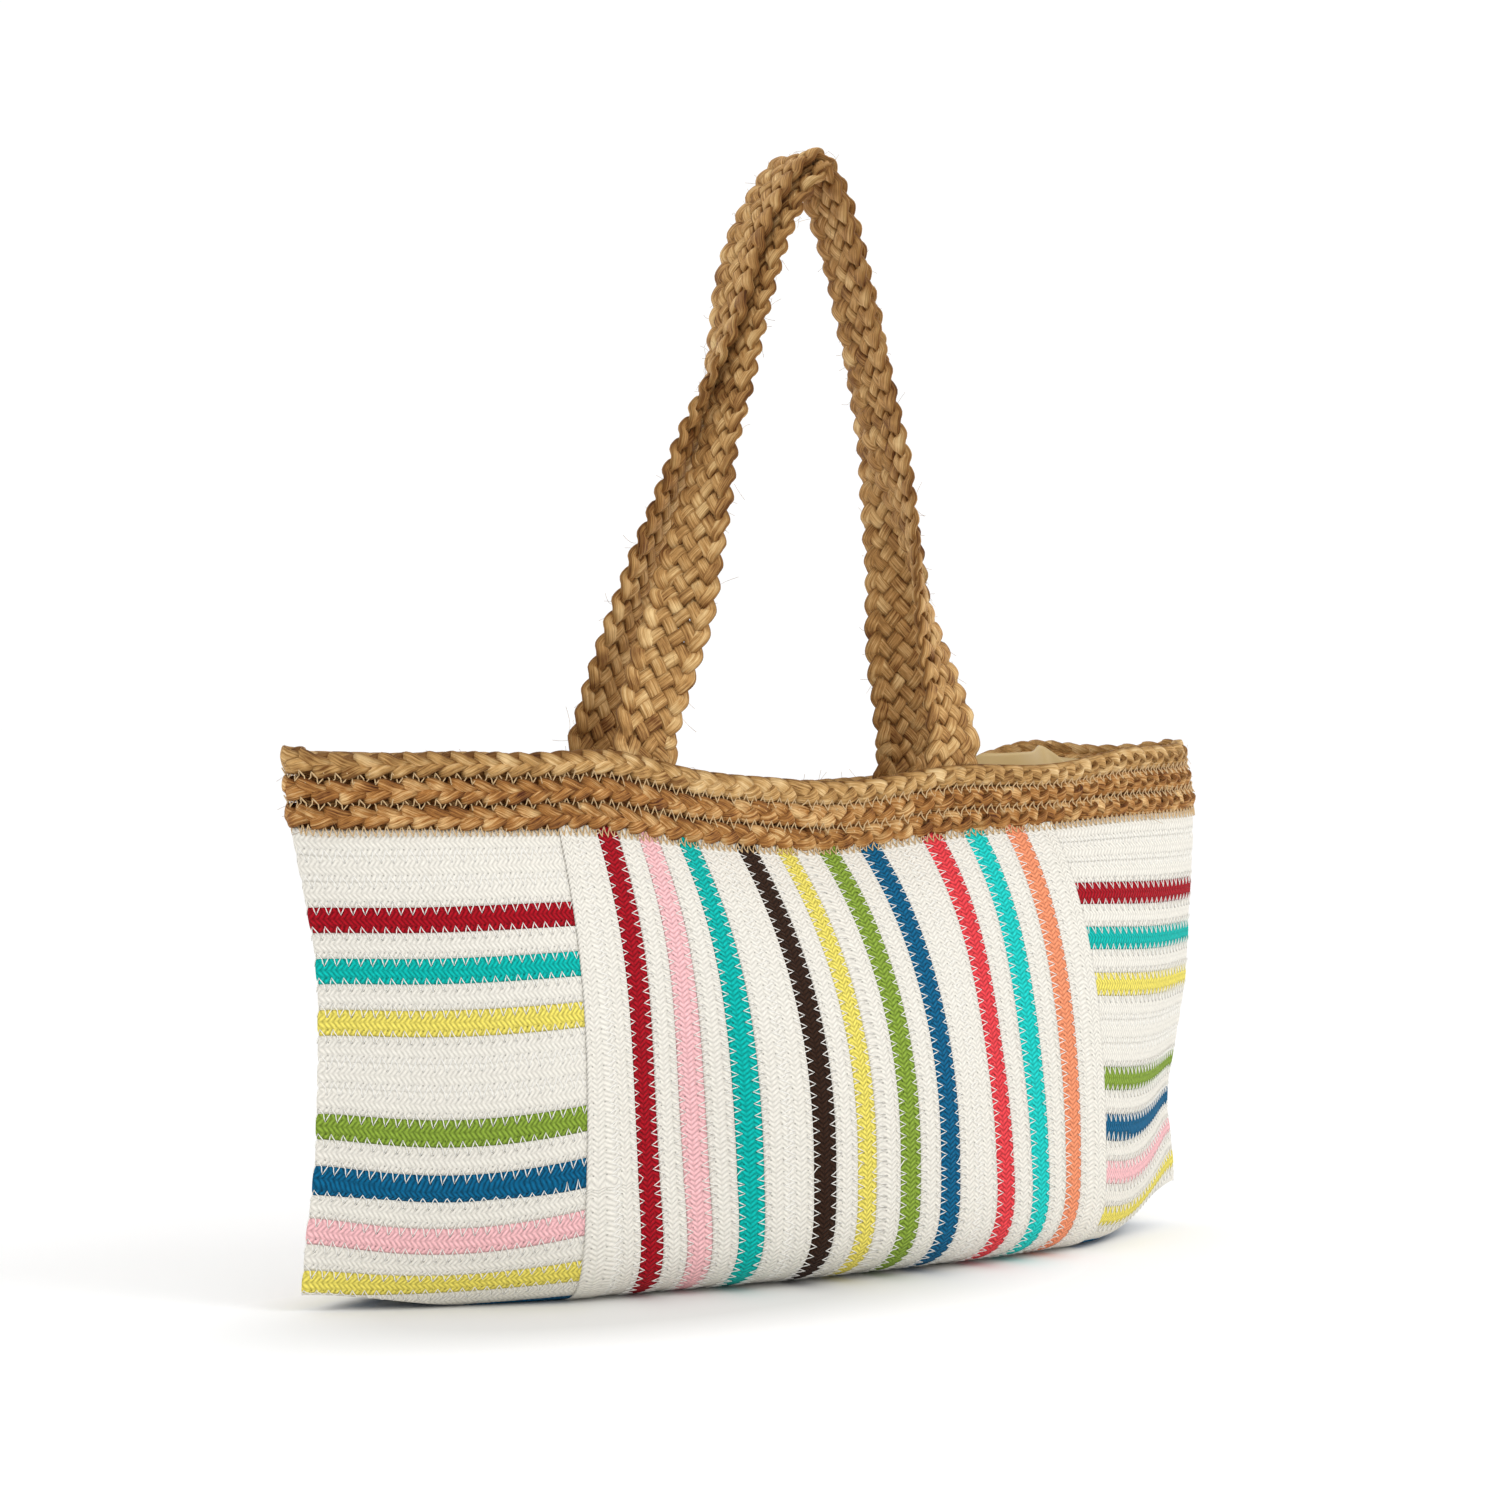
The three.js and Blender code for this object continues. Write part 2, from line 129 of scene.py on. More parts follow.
# %% Tables from tape length to place
LEVELS = np.concatenate([np.linspace(0, 1, 9), np.linspace(1, 2, 71)[1:], np.linspace(2, 3, 91)[1:]])
TURNS = np.linspace(-math.pi / 2, math.pi / 2, 401)
COLUMNS = np.linspace(-1, 1, 201)


def half_width_at(level):
    half_width = HALF_LENGTH
    for _ in range(8):
        half_width *= 2 * HALF_LENGTH / lengths_along(section(TURNS, level, 0, half_width))[-1]
    return half_width


HALF_WIDTHS = np.array([half_width_at(min(level, 2)) for level in LEVELS])
TURN_TABLE = np.empty((len(LEVELS), len(COLUMNS)))
for j, level in enumerate(LEVELS):
    row_lengths = lengths_along(section(TURNS, level, 0, HALF_WIDTHS[j]))
    TURN_TABLE[j] = np.interp((COLUMNS + 1) / 2 * row_lengths[-1], row_lengths, TURNS)
LENGTH_TABLE = lengths_along(section(TURN_TABLE, LEVELS[:, None], 0, HALF_WIDTHS[:, None]))
print("cloth from rim to the middle of the base:", LENGTH_TABLE[-1].min(), "to", LENGTH_TABLE[-1].max())


# %% From tape length to a point
def down_length(along, share):
    """Length down the cloth at a share, 0 to 1, of the underside."""
    total = np.interp(along, COLUMNS, LENGTH_TABLE[-1])
    return mix(WRAPPED, total, share)


def place(along, down, depth, face):
    """along: -1 to 1; down: length below the rim; depth: below the outer skin; face: 1 front, -1 back."""
    along, down, depth, face = (np.asarray(a, float) for a in np.broadcast_arrays(along, down, depth, face))
    position = np.clip((along + 1) / 2 * (len(COLUMNS) - 1), 0, len(COLUMNS) - 1)
    first = np.minimum(position.astype(int), len(COLUMNS) - 2)
    k = position - first
    level = np.zeros(along.shape)
    for column in np.unique(first):
        here = first == column
        a = np.interp(down[here], LENGTH_TABLE[:, column], LEVELS)
        b = np.interp(down[here], LENGTH_TABLE[:, column + 1], LEVELS)
        level[here] = mix(a, b, k[here])
    level = np.where(down >= down_length(along, 1) - 1e-6, 3, level)
    spot = np.interp(level, LEVELS, np.arange(len(LEVELS)))
    low = np.minimum(spot.astype(int), len(LEVELS) - 2)
    m = spot - low
    turn = mix(mix(TURN_TABLE[low, first], TURN_TABLE[low, first + 1], k),
               mix(TURN_TABLE[low + 1, first], TURN_TABLE[low + 1, first + 1], k), m)
    points = section(turn, level, depth, np.interp(level, LEVELS, HALF_WIDTHS))
    lift = CORNER_LIFT * smoothstep(points[..., 0] / HALF_LENGTH, 0.6, 0.95)
    points[..., 2] += lift * gauss(points[..., 2] / CORNER_LIFT_HEIGHT)
    fade = np.maximum(0, 1 - down / BACK_LIFT_LENGTH) ** 2
    rise = BACK_LIFT * gauss((along - BACK_LIFT_PLACE) / BACK_LIFT_WIDTH) * fade
    points[..., 2] += np.where(face < 0, rise, 0)
    mirror = np.stack([np.ones(along.shape), face, np.ones(along.shape)], -1)
    return settle(points, along, down, face) * mirror


# How the standing bag slumps. A dent is its depth in mm, then its middle and width along, then its
# middle and width down. A wave of the rim is its height in mm, then its middle and width along.
FRONT_DENTS = ((16, -0.37, 0.14, 175, 85), (7.5, 0.31, 0.12, 150, 65))
FRONT_WAVES = ((4.8, -0.44, 0.13), (-7, 0.53, 0.19), (-4, 0.1, 0.15))
BACK_WAVES = ((-8, 0.36, 0.33),)
WAVE_LENGTH = 90.0  # mm, how far down a wave of the rim is felt
KNOT_RISE, KNOT_OUT, KNOT_WIDTH = 3.5, 3.0, 0.04
CORNER_RISE, CORNER_WIDTH = 3.0, 0.06
LEFT_CLEARANCE = 9.0  # mm, how far the left corner stands off the floor


def settle(points, along, down, face):
    """How the standing bag slumps: the ends lean, the front has two shallow dents, the rim waves, and the
    left corner is lifted off the floor and flat underneath."""
    end = smoothstep(np.abs(along), 0.5, 1.0)
    left = 7.5 * gauss((down - 95) / 55) - 7 * smoothstep(down, 175, 255)
    right = 4 * gauss((down - 125) / 40) - 5 * gauss((down - 200) / 35) - 10 * gauss(down / 30)
    points[..., 0] += np.where(along < 0, left, right) * end
    dents = sum(most * gauss((along - spot) / wide) * gauss((down - low) / tall)
                for most, spot, wide, low, tall in FRONT_DENTS)
    points[..., 1] += np.where(face > 0, dents, 0)
    front, back = (sum(most * gauss((along - spot) / wide) for most, spot, wide in waves)
                   for waves in (FRONT_WAVES, BACK_WAVES))
    near_rim = np.clip(1 - down / WAVE_LENGTH, 0, 1) ** 2
    knot = gauss((along + 1) / KNOT_WIDTH)
    corner = gauss((along - 1) / CORNER_WIDTH)
    points[..., 2] += (np.where(face > 0, front, back) + KNOT_RISE * knot + CORNER_RISE * corner) * near_rim
    points[..., 0] -= KNOT_OUT * knot * near_rim
    floor = LEFT_CLEARANCE * smoothstep(-along, 0.7, 1.0)
    points[..., 2] = np.where(points[..., 2] < floor, mix(floor, points[..., 2], 0.15), points[..., 2])
    return points


# %% [markdown]
# ## Making meshes
# A tape, a plait's strand and a thread are all a cross-section carried along a route, so one helper
# makes them all. It also writes a UV map in centimetres, along and across, because every weave in
# this file is drawn in those two lengths and must not swim when the bag bends.

# %% Mesh helper
def sweep(name, rings, uvs, material, closed=False):
    """rings: stations x points x 3, in mm. uvs: stations x (points + 1) x 2, in cm."""
    stations, size = rings.shape[:2]
    points = rings.reshape(-1, 3) * MM
    last = stations if closed else stations - 1
    i = np.arange(last)[:, None]
    j = np.arange(size)[None, :]
    i2, j2 = (i + 1) % stations, (j + 1) % size
    quads = np.stack([i * size + j, i2 * size + j, i2 * size + j2, i * size + j2], -1).reshape(-1, 4)
    uv_rows = uvs.shape[0]
    iu2 = np.minimum(i + 1, uv_rows - 1)
    corner = np.stack([uvs[i, j], uvs[iu2, j], uvs[iu2, j + 1], uvs[i, j + 1]], 2).reshape(-1, 2)
    faces = [tuple(q) for q in quads.tolist()]
    if not closed:
        faces += [tuple(range(size))[::-1], tuple(range((stations - 1) * size, stations * size))]
        corner = np.concatenate([corner, uvs[0, :size][::-1], uvs[-1, :size]])
    mesh = bpy.data.meshes.new(name)
    mesh.from_pydata(points.tolist(), [], faces)
    mesh.uv_layers.new(name="Lengths").data.foreach_set("uv", corner.astype(np.float32).ravel())
    mesh.polygons.foreach_set("use_smooth", np.full(len(faces), True))
    mesh.materials.append(material)
    mesh.update()
    piece = bpy.data.objects.new(name, mesh)
    bpy.context.collection.objects.link(piece)
    return piece


def join(name, pieces):
    """Join pieces into the first one and name it."""
    bpy.ops.object.select_all(action="DESELECT")
    for piece in pieces:
        piece.select_set(True)
    bpy.context.view_layer.objects.active = pieces[0]
    if len(pieces) > 1:
        bpy.ops.object.join()
    pieces[0].name = pieces[0].data.name = name
    return pieces[0]


# %% [markdown]
# ## Materials
# Each finish is built from nodes. A short helper keeps the graphs readable: math(op, a, b) adds a
# node and returns its output, and numbers or outputs can be given alike.

# %% Node helper
class Graph:
    def __init__(self, name):
        self.material = bpy.data.materials.new(name)
        self.material.use_nodes = True
        self.tree = self.material.node_tree
        self.shader = self.tree.nodes["Principled BSDF"]

    def node(self, kind, **values):
        node = self.tree.nodes.new(kind)
        for key, value in values.items():
            setattr(node, key, value)
        return node

    def put(self, value, socket):
        if isinstance(value, bpy.types.NodeSocket):
            self.tree.links.new(value, socket)
        else:
            socket.default_value = value

    def math(self, operation, *values):
        node = self.node("ShaderNodeMath", operation=operation)
        for value, socket in zip(values, node.inputs):
            self.put(value, socket)
        return node.outputs[0]

    def noise(self, vector, scale, detail=3.0, roughness=0.6):
        node = self.node("ShaderNodeTexNoise")
        self.put(vector, node.inputs["Vector"])
        for key, value in (("Scale", scale), ("Detail", detail), ("Roughness", roughness)):
            node.inputs[key].default_value = value
        return node.outputs["Fac"]

    def combine(self, x, y, z=0.0):
        node = self.node("ShaderNodeCombineXYZ")
        for value, socket in zip((x, y, z), node.inputs):
            self.put(value, socket)
        return node.outputs[0]

    def lengths(self):
        uv = self.node("ShaderNodeUVMap", uv_map="Lengths")
        parts = self.node("ShaderNodeSeparateXYZ")
        self.tree.links.new(uv.outputs[0], parts.inputs[0])
        return parts.outputs[0], parts.outputs[1]

    def ramp(self, value, stops):
        node = self.node("ShaderNodeValToRGB")
        self.put(value, node.inputs[0])
        elements = node.color_ramp.elements
        for position, colour in stops[1:-1]:
            elements.new(position).color = (*colour, 1)
        elements[0].position, elements[0].color = stops[0][0], (*stops[0][1], 1)
        elements[-1].position, elements[-1].color = stops[-1][0], (*stops[-1][1], 1)
        return node.outputs[0]

    def shade(self, colour, factor, warmth=(1, 1)):
        """colour times a factor; warmth above 1 takes more from green and blue as it darkens."""
        node = self.node("ShaderNodeMix", data_type="RGBA", blend_type="MULTIPLY")
        node.inputs[0].default_value = 1
        self.put(colour if isinstance(colour, bpy.types.NodeSocket) else (*colour, 1), node.inputs[6])
        self.put(self.combine(factor, *(self.math("POWER", factor, warm) if warm != 1 else factor
                                        for warm in warmth)), node.inputs[7])
        return node.outputs[2]

    def bump(self, height, distance, strength=1.0):
        node = self.node("ShaderNodeBump")
        node.inputs["Strength"].default_value = strength
        node.inputs["Distance"].default_value = distance
        self.put(height, node.inputs["Height"])
        self.tree.links.new(node.outputs[0], self.shader.inputs["Normal"])

    def finish(self, colour, roughness, **sockets):
        self.put(colour, self.shader.inputs["Base Color"])
        self.put(roughness, self.shader.inputs["Roughness"])
        for key, value in sockets.items():
            self.shader.inputs[key.replace("_", " ")].default_value = value
        return self.material


def linear(red, green, blue):
    """A screen colour, 0 to 255, as the linear values that shaders want."""
    shares = (red / 255, green / 255, blue / 255)
    return tuple(((c + 0.055) / 1.055) ** 2.4 if c > 0.04 else c / 12.92 for c in shares)


# %% [markdown]
# ### Cotton braid
# A flat cotton braid shows slanting strands in columns that lean left and right in turn, like a
# herringbone. The bump follows from the along and across lengths: the column picks the lean, and a
# sine across the lean gives each strand its round back. Dark needle holes lie in two lines, one near
# each edge, where the zigzag went in.

# %% Cotton braid
STITCH = 5.6  # mm, the zigzag's pitch
HOLE_INSET = 3.0  # mm, from the tape's edge to the needle's line
BRAID_COLUMN = 0.32  # cm
BRAID_STRAND = 0.24  # cm
HOLE_RADIUS = 0.055  # cm
HOLE_SHADE = 0.5
STAIN = 0.05


def cotton(name, colour, relief):
    g = Graph(name)
    along, across = g.lengths()
    column = g.math("DIVIDE", g.math("ADD", across, 10.0), BRAID_COLUMN)
    inside = g.math("FRACT", column)
    lean = g.math("MULTIPLY_ADD", g.math("FLOORED_MODULO", g.math("FLOOR", column), 2.0), 2.0, -1.0)
    centred = g.math("SUBTRACT", inside, 0.5)
    phase = g.math("ADD", g.math("DIVIDE", along, BRAID_STRAND), g.math("MULTIPLY", lean, centred))
    strand = g.math("ABSOLUTE", g.math("SINE", g.math("MULTIPLY", phase, math.pi)))
    rib = g.math("SINE", g.math("MULTIPLY", inside, math.pi))
    weave = g.math("MULTIPLY", g.math("POWER", strand, 1.1), g.math("MULTIPLY_ADD", rib, 0.45, 0.55))
    lie = g.combine(along, across)
    fuzz = g.noise(lie, 6.0, 4.0)
    patches = g.noise(lie, 0.9, 3.0)
    hole_along = g.math("SUBTRACT", g.math("FRACT", g.math("DIVIDE", along, STITCH / 10)), 0.5)
    hole_along = g.math("MULTIPLY", hole_along, STITCH / 10)
    half_tape = ROW / 20
    hole_across = g.math("SUBTRACT", g.math("ABSOLUTE", across), half_tape - HOLE_INSET / 10)
    far = g.math("SQRT", g.math("ADD", g.math("POWER", hole_along, 2.0), g.math("POWER", hole_across, 2.0)))
    share = g.math("MINIMUM", g.math("DIVIDE", far, HOLE_RADIUS), 1.0)
    hole = g.math("SUBTRACT", 1.0, g.math("SMOOTH_MAX", 0.0, share, 0.1))
    height = g.math("SUBTRACT", g.math("MULTIPLY_ADD", fuzz, 0.25, weave), g.math("MULTIPLY", hole, 1.6))
    tone = g.math("MULTIPLY_ADD", weave, relief, 1 - 0.5 * relief)
    tone = g.math("MULTIPLY", tone, g.math("MULTIPLY_ADD", patches, STAIN * 2, 1 - STAIN))
    tone = g.math("MULTIPLY", tone, g.math("SUBTRACT", 1.0, g.math("MULTIPLY", hole, 1 - HOLE_SHADE)))
    tone = g.math("MULTIPLY_ADD", g.math("SUBTRACT", fuzz, 0.5), 1.8 * relief, tone)
    g.bump(height, 0.0006, 0.4 + 0.8 * relief)
    rough = g.math("MULTIPLY_ADD", weave, -0.12, 0.95)
    return g.finish(g.shade(colour, tone), rough, Sheen_Weight=0.03, Sheen_Roughness=0.5,
                    Specular_IOR_Level=0.12)


COTTON = {name: cotton("cotton_" + name, linear(*rgb), relief) for name, rgb, relief in (
    ("white", (229, 225, 215), 0.26), ("dark_red", (158, 12, 28), 0.75), ("teal", (4, 175, 166), 0.6),
    ("yellow", (227, 212, 98), 0.55), ("green", (129, 156, 56), 0.7), ("blue", (8, 91, 130), 0.8),
    ("pink", (239, 185, 188), 0.45), ("brown", (48, 29, 18), 0.8), ("coral", (221, 64, 71), 0.65),
    ("light_teal", (28, 196, 188), 0.55), ("orange", (233, 143, 104), 0.5))}
print("cotton finishes:", ", ".join(COTTON))

# %% [markdown]
# ### Jute
# Jute is long stiff fibre. Each strand has streaks that run its whole length, pale and dark fibres side by
# side, and some strands are redder than others. The second UV length counts the strands, so the noise can
# give every strand its own tone. A point attribute on each strand holds painted shade: it darkens a strand
# where it dives under a neighbour and along its two edges, and takes more green and blue than red, because
# shaded jute looks warm.

# %% Jute
def jute(name, dark, middle, light):
    g = Graph(name)
    along, around = g.lengths()
    strand = g.math("FLOOR", around)
    turn = g.math("FRACT", around)
    long_lie = g.combine(g.math("MULTIPLY", along, 0.55), g.math("MULTIPLY", turn, 22.0), strand)
    short_lie = g.combine(g.math("MULTIPLY", along, 2.0), g.math("MULTIPLY", turn, 90.0), strand)
    streaks = g.noise(long_lie, 1.0, 5.0, 0.7)
    fine = g.noise(short_lie, 1.0, 2.0, 0.5)
    patch = g.noise(g.combine(g.math("MULTIPLY", along, 0.7), g.math("MULTIPLY", strand, 3.7)), 1.0, 2.0)
    tone = g.math("ADD", g.math("MULTIPLY_ADD", streaks, 2.0, -1.0), g.math("MULTIPLY", fine, 0.5))
    tone = g.math("ADD", tone, g.math("MULTIPLY_ADD", patch, 1.5, -0.5))
    sunk = g.node("ShaderNodeAttribute", attribute_name="PaintedShade").outputs["Fac"]
    colour = g.ramp(tone, [(0.05, dark), (0.5, middle), (0.95, light)])
    # Painted shade: the strand is darker where it dives under a neighbour and along its two edges, more so
    # in green and blue.
    colour = g.shade(colour, g.math("MULTIPLY_ADD", sunk, -0.72, 1.1), warmth=(1.3, 1.8))
    height = g.math("ADD", g.math("MULTIPLY", streaks, 0.7), g.math("MULTIPLY", fine, 0.5))
    g.bump(height, 0.0012, 1.0)
    rough = g.math("MULTIPLY_ADD", fine, -0.2, 0.72)
    return g.finish(colour, rough, Specular_IOR_Level=0.22)


JUTE = jute("jute_plait", linear(104, 58, 18), linear(190, 142, 82), linear(238, 202, 142))
JUTE_PALE = jute("jute_plait_pale", linear(116, 72, 28), linear(200, 154, 92), linear(242, 208, 152))
JUTE_RED = jute("jute_plait_red", linear(80, 34, 10), linear(180, 122, 60), linear(246, 206, 144))


# %% Thread and satin
def thread(name, colour):
    g = Graph(name)
    along, around = g.lengths()
    turns = g.math("ADD", g.math("DIVIDE", along, 0.08), around)
    ply = g.math("SINE", g.math("MULTIPLY", turns, 2 * math.pi))
    g.bump(ply, 0.0001, 0.6)
    tone = g.math("MULTIPLY_ADD", ply, 0.04, 0.96)
    return g.finish(g.shade(colour, tone), 0.6, Specular_IOR_Level=0.4)


WHITE_THREAD = thread("white_thread", linear(252, 250, 244))
JUTE_THREAD = thread("jute_thread", linear(222, 190, 142))


def satin(name, colour):
    g = Graph(name)
    along, across = g.lengths()
    lie = g.combine(g.math("MULTIPLY", along, 60.0), g.math("MULTIPLY", across, 12.0))
    grain = g.noise(lie, 1.0, 2.0)
    sweep_tone = g.noise(g.combine(along, across), 0.35, 2.0)
    tone = g.math("MULTIPLY_ADD", sweep_tone, 0.3, g.math("MULTIPLY_ADD", grain, 0.1, 0.8))
    g.bump(grain, 0.0001, 0.4)
    return g.finish(g.shade(colour, tone), g.math("MULTIPLY_ADD", grain, 0.1, 0.32), Sheen_Weight=0.3,
                    Specular_IOR_Level=0.5)


SATIN = satin("khaki_satin", linear(198, 170, 112))

# %% [markdown]
# ## The white panels
# On the bag the white ground is braids too, so the panel is not a plain sheet: every tape has a
# crowned back and a sunk joint on each side. One long cross-section, tape by tape, is carried over
# the skin. Where a coloured tape lies the section drops into a groove for it.

# %% Which tape is which colour
CENTRE_COLOURS = {"dark_red": (2, "dark_red"), "pink": (4, "pink"), "teal": (6, "teal"),
                  "brown": (9, "brown"), "yellow": (11, "yellow"), "green": (13, "green"),
                  "blue": (15, "blue"),
                  "coral": (18, "coral"), "light_teal": (20, "light_teal"), "orange": (22, "orange")}
SIDE_COLOURS = {"dark_red": (3, "dark_red"), "teal": (5, "teal"), "yellow": (7, "yellow"),
                "green": (11, "green"), "blue": (13, "blue"), "pink": (15, "pink"),
                "low_yellow": (17, "yellow")}
UNDER_BLUE = 19
CLOTH = 3.0
GROOVE = 2.0
CROWN = 0.55
WHITE_CROWN = 0.55  # share of the crown that a white tape has
LAP = 0.6  # mm, how far the centre panel's edges stand over the side panels


def crown(across, width):
    """Depth of a tape's back below its middle, at a distance across from the middle."""
    return CROWN * np.abs(2 * across / width) ** 3.5


def tape_profile(start, count, width, coloured, points=9):
    """Positions, depths and UV offsets across a run of tapes, with a groove under each coloured one."""
    spots, depths, offsets = [], [], []
    for index in range(math.ceil(count)):
        span = min(1, count - index) * width
        across = np.linspace(-width / 2, -width / 2 + span, points)
        spots.append(start + index * width + width / 2 + across)
        depths.append(np.full(points, GROOVE) if index in coloured else WHITE_CROWN * crown(across, width))
        offsets.append(across)
    return np.concatenate(spots), np.concatenate(depths), np.concatenate(offsets)


# %% [markdown]
# Two things stop the panels looking like a drawing. The side seams aren't upright: they lean with
# the cloth. And the lower rows hang a little between the seam and the end.

# %% Leaning seams and hanging rows
def seam_shift(side, down):
    """How far a seam is moved towards the middle, in mm."""
    lean = 6.4 if side < 0 else 4.3
    return lean * (1 - np.minimum(down, WRAPPED) / 150)


def sag(along, down):
    """How much further down a side row hangs, in mm."""
    share = np.clip((np.abs(along) * HALF_LENGTH - SEAM) / (HALF_LENGTH - SEAM), 0, 1)
    most = np.where(along < 0, 5.0, 2.0)
    fade = smoothstep(down, 110, 215) * (1 - smoothstep(down, 230, WRAPPED))
    return most * np.sin(math.pi * share) * fade


def side_along(side, share, down):
    """along at a share, 0 to 1, of the way from the seam to the end."""
    return side * mix(SEAM - seam_shift(side, down), HALF_LENGTH, share) / HALF_LENGTH


# %% Steps down the front, under the bag and up the back
def down_steps(count_side, count_under):
    side = [(down, None, 1) for down in np.linspace(BAND - 2, WRAPPED, count_side)]
    under = [(None, share, 1) for share in np.linspace(0, 1, count_under + 1)[1:]]
    front = side + under
    return front + [(down, share, -1) for down, share, _ in reversed(front[:-1])]


def centre_rings(spots, depths, steps):
    """Rings of points for a strip that runs down the front, under and up the back."""
    rings = []
    for down, share, face in steps:
        level = WRAPPED if down is None else down
        edge = np.clip((np.abs(spots) - (SEAM - TAPE)) / TAPE, 0, 1)
        shift = np.where(spots < 0, seam_shift(-1, level), -seam_shift(1, level))
        along = (spots + shift * edge) / HALF_LENGTH
        length = down_length(along, share) if down is None else np.full(along.shape, down)
        rings.append(place(along, length, depths, face))
    return np.array(rings)


def strip_uvs(rings, offsets):
    """UVs in cm: the running length of the ring's first points, and the offset across the tape."""
    middle = rings[:, rings.shape[1] // 4]
    run = lengths_along(middle) / 10
    across = np.append(offsets, offsets[0]) / 10
    return np.stack(np.broadcast_arrays(run[:, None], across[None, :]), -1)


STEPS = down_steps(70, 30)


def centre_ground():
    coloured = [tape for tape, _ in CENTRE_COLOURS.values()]
    spots, depths, offsets = tape_profile(-SEAM, CENTRE_TAPES, TAPE, coloured)
    lapped = smoothstep(np.abs(spots), SEAM - TAPE, SEAM - TAPE * 0.7)
    depths = depths * (1 - 0.6 * lapped) - LAP * lapped
    spots = spots * (1 + 1.2 / SEAM * lapped)
    inner = spots[::-4]
    all_spots = np.concatenate([spots, inner])
    all_depths = np.concatenate([depths, np.full(len(inner), CLOTH)])
    all_offsets = np.concatenate([offsets, np.zeros(len(inner))])
    rings = centre_rings(all_spots, all_depths, STEPS)
    uvs = strip_uvs(rings, all_offsets)
    piece = sweep("centre_ground", rings, uvs, COTTON["white"])
    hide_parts("centre_panel")
    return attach(piece, "bag")


print("centre ground:", len(centre_ground().data.vertices), "vertices")


# %% [markdown]
# ### The coloured tapes of the centre
# A coloured tape is its own braid. It sits in its groove with a crowned back, rounded edges and a
# flat underside, and it keeps its width all the way under the bag.

# %% Centre tapes
def tape_section(width, points=11):
    """Offsets across and depths for one tape's closed cross-section."""
    half = width / 2 - 0.15
    across = np.linspace(-half, half, points)
    top = crown(across, width) - 0.15
    offsets = np.concatenate([across, [half, -half]])
    depths = np.concatenate([top, [1.5, 1.5]])
    return offsets, depths


for name, (tape, colour) in CENTRE_COLOURS.items():
    offsets, depths = tape_section(TAPE)
    spots = -SEAM + (tape + 0.5) * TAPE + offsets
    rings = centre_rings(spots, depths, STEPS)
    piece = sweep("tape_" + name, rings, strip_uvs(rings, offsets), COTTON[colour])
    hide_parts("centre_tape_" + name)
    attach(piece, "bag")
print("centre tapes:", len(CENTRE_COLOURS))


# %% [markdown]
# ## The side panels
# The side tapes lie level and wrap round the end of the bag, so each row is one long tape from the
# front seam round the end fold to the back seam. The steps crowd together at the fold, where the
# cloth turns sharply.

# %% Steps round an end
def end_steps(count=56):
    front = np.sin(np.linspace(0, math.pi / 2, count)) ** 1.3
    share = np.concatenate([front, front[:-1][::-1]])
    face = np.concatenate([np.ones(count), -np.ones(count - 1)])
    return share, face


def side_ground(side, name):
    spots, depths, offsets = tape_profile(BAND, 25, ROW, [row for row, _ in SIDE_COLOURS.values()])
    shares, face = end_steps()
    rings, uvs = [], []
    for end_share, f in zip(shares, face):
        most = down_length(side_along(side, end_share, WRAPPED), 1)
        upper = spots <= WRAPPED
        share = np.linspace(0, 1, 40)[1:]
        lower = mix(WRAPPED, most, share)
        row = (lower - BAND) / ROW
        off = (row - np.floor(row) - 0.5) * ROW
        down = np.concatenate([spots[upper], lower])
        depth = np.concatenate([depths[upper], WHITE_CROWN * crown(off, ROW)])
        offset = np.concatenate([offsets[upper], off])
        inner = down[::-3]
        down = np.concatenate([down, inner])
        a = side_along(side, end_share, down)
        down = np.minimum(down + sag(a, down), down_length(a, 1))
        rings.append(place(a, down, np.concatenate([depth, np.full(len(inner), CLOTH)]), f))
        uvs.append(np.concatenate([offset, np.zeros(len(inner) + 1)]))
    rings = np.array(rings)
    run = np.concatenate([[0], np.cumsum(np.abs(np.diff(shares)) * (HALF_LENGTH - SEAM))]) / 10
    uv = np.stack([np.broadcast_to(run[:, None], np.shape(uvs)), np.array(uvs) / 10], -1)
    piece = sweep(name, rings, uv, COTTON["white"])
    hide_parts(name.replace("ground", "side_panel"))
    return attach(piece, "bag")


for side, name in ((-1, "left_ground"), (1, "right_ground")):
    print(name, len(side_ground(side, name).data.vertices), "vertices")


# %% Side tapes
def side_tape(side, end, name, row, colour):
    shares, face = end_steps()
    offsets, depths = tape_section(ROW)
    downs = BAND + (row + 0.5) * ROW + offsets[None, :]
    along = side_along(side, shares[:, None], downs)
    downs = np.minimum(downs + sag(along, downs), down_length(along, 1))
    rings = place(along, downs, depths[None, :], face[:, None])
    run = np.concatenate([[0], np.cumsum(np.abs(np.diff(shares)) * (HALF_LENGTH - SEAM))]) / 10
    across = np.append(offsets, offsets[0]) / 10
    uv = np.stack(np.broadcast_arrays(run[:, None], across[None, :]), -1)
    piece = sweep(f"{end}_tape_{name}", rings, uv, COTTON[colour])
    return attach(piece, "bag")


for side, end in ((-1, "left"), (1, "right")):
    for name, (row, colour) in SIDE_COLOURS.items():
        piece = side_tape(side, end, name, row, colour)
        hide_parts(f"{end}_side_tape_{name}")
    side_tape(side, end, "under_blue", UNDER_BLUE, "blue")
print("side tapes:", 2 * len(SIDE_COLOURS) + 2)

# %% [markdown]
# ## Things that follow the skin
# Threads and plaits lie on the skin but have their own round section. The skin's own normal tells
# them which way is out, and the normal comes from asking for the same place at two depths.

# %% Rods on a route
def unit(vectors):
    return vectors / np.maximum(np.linalg.norm(vectors, axis=-1, keepdims=True), 1e-9)


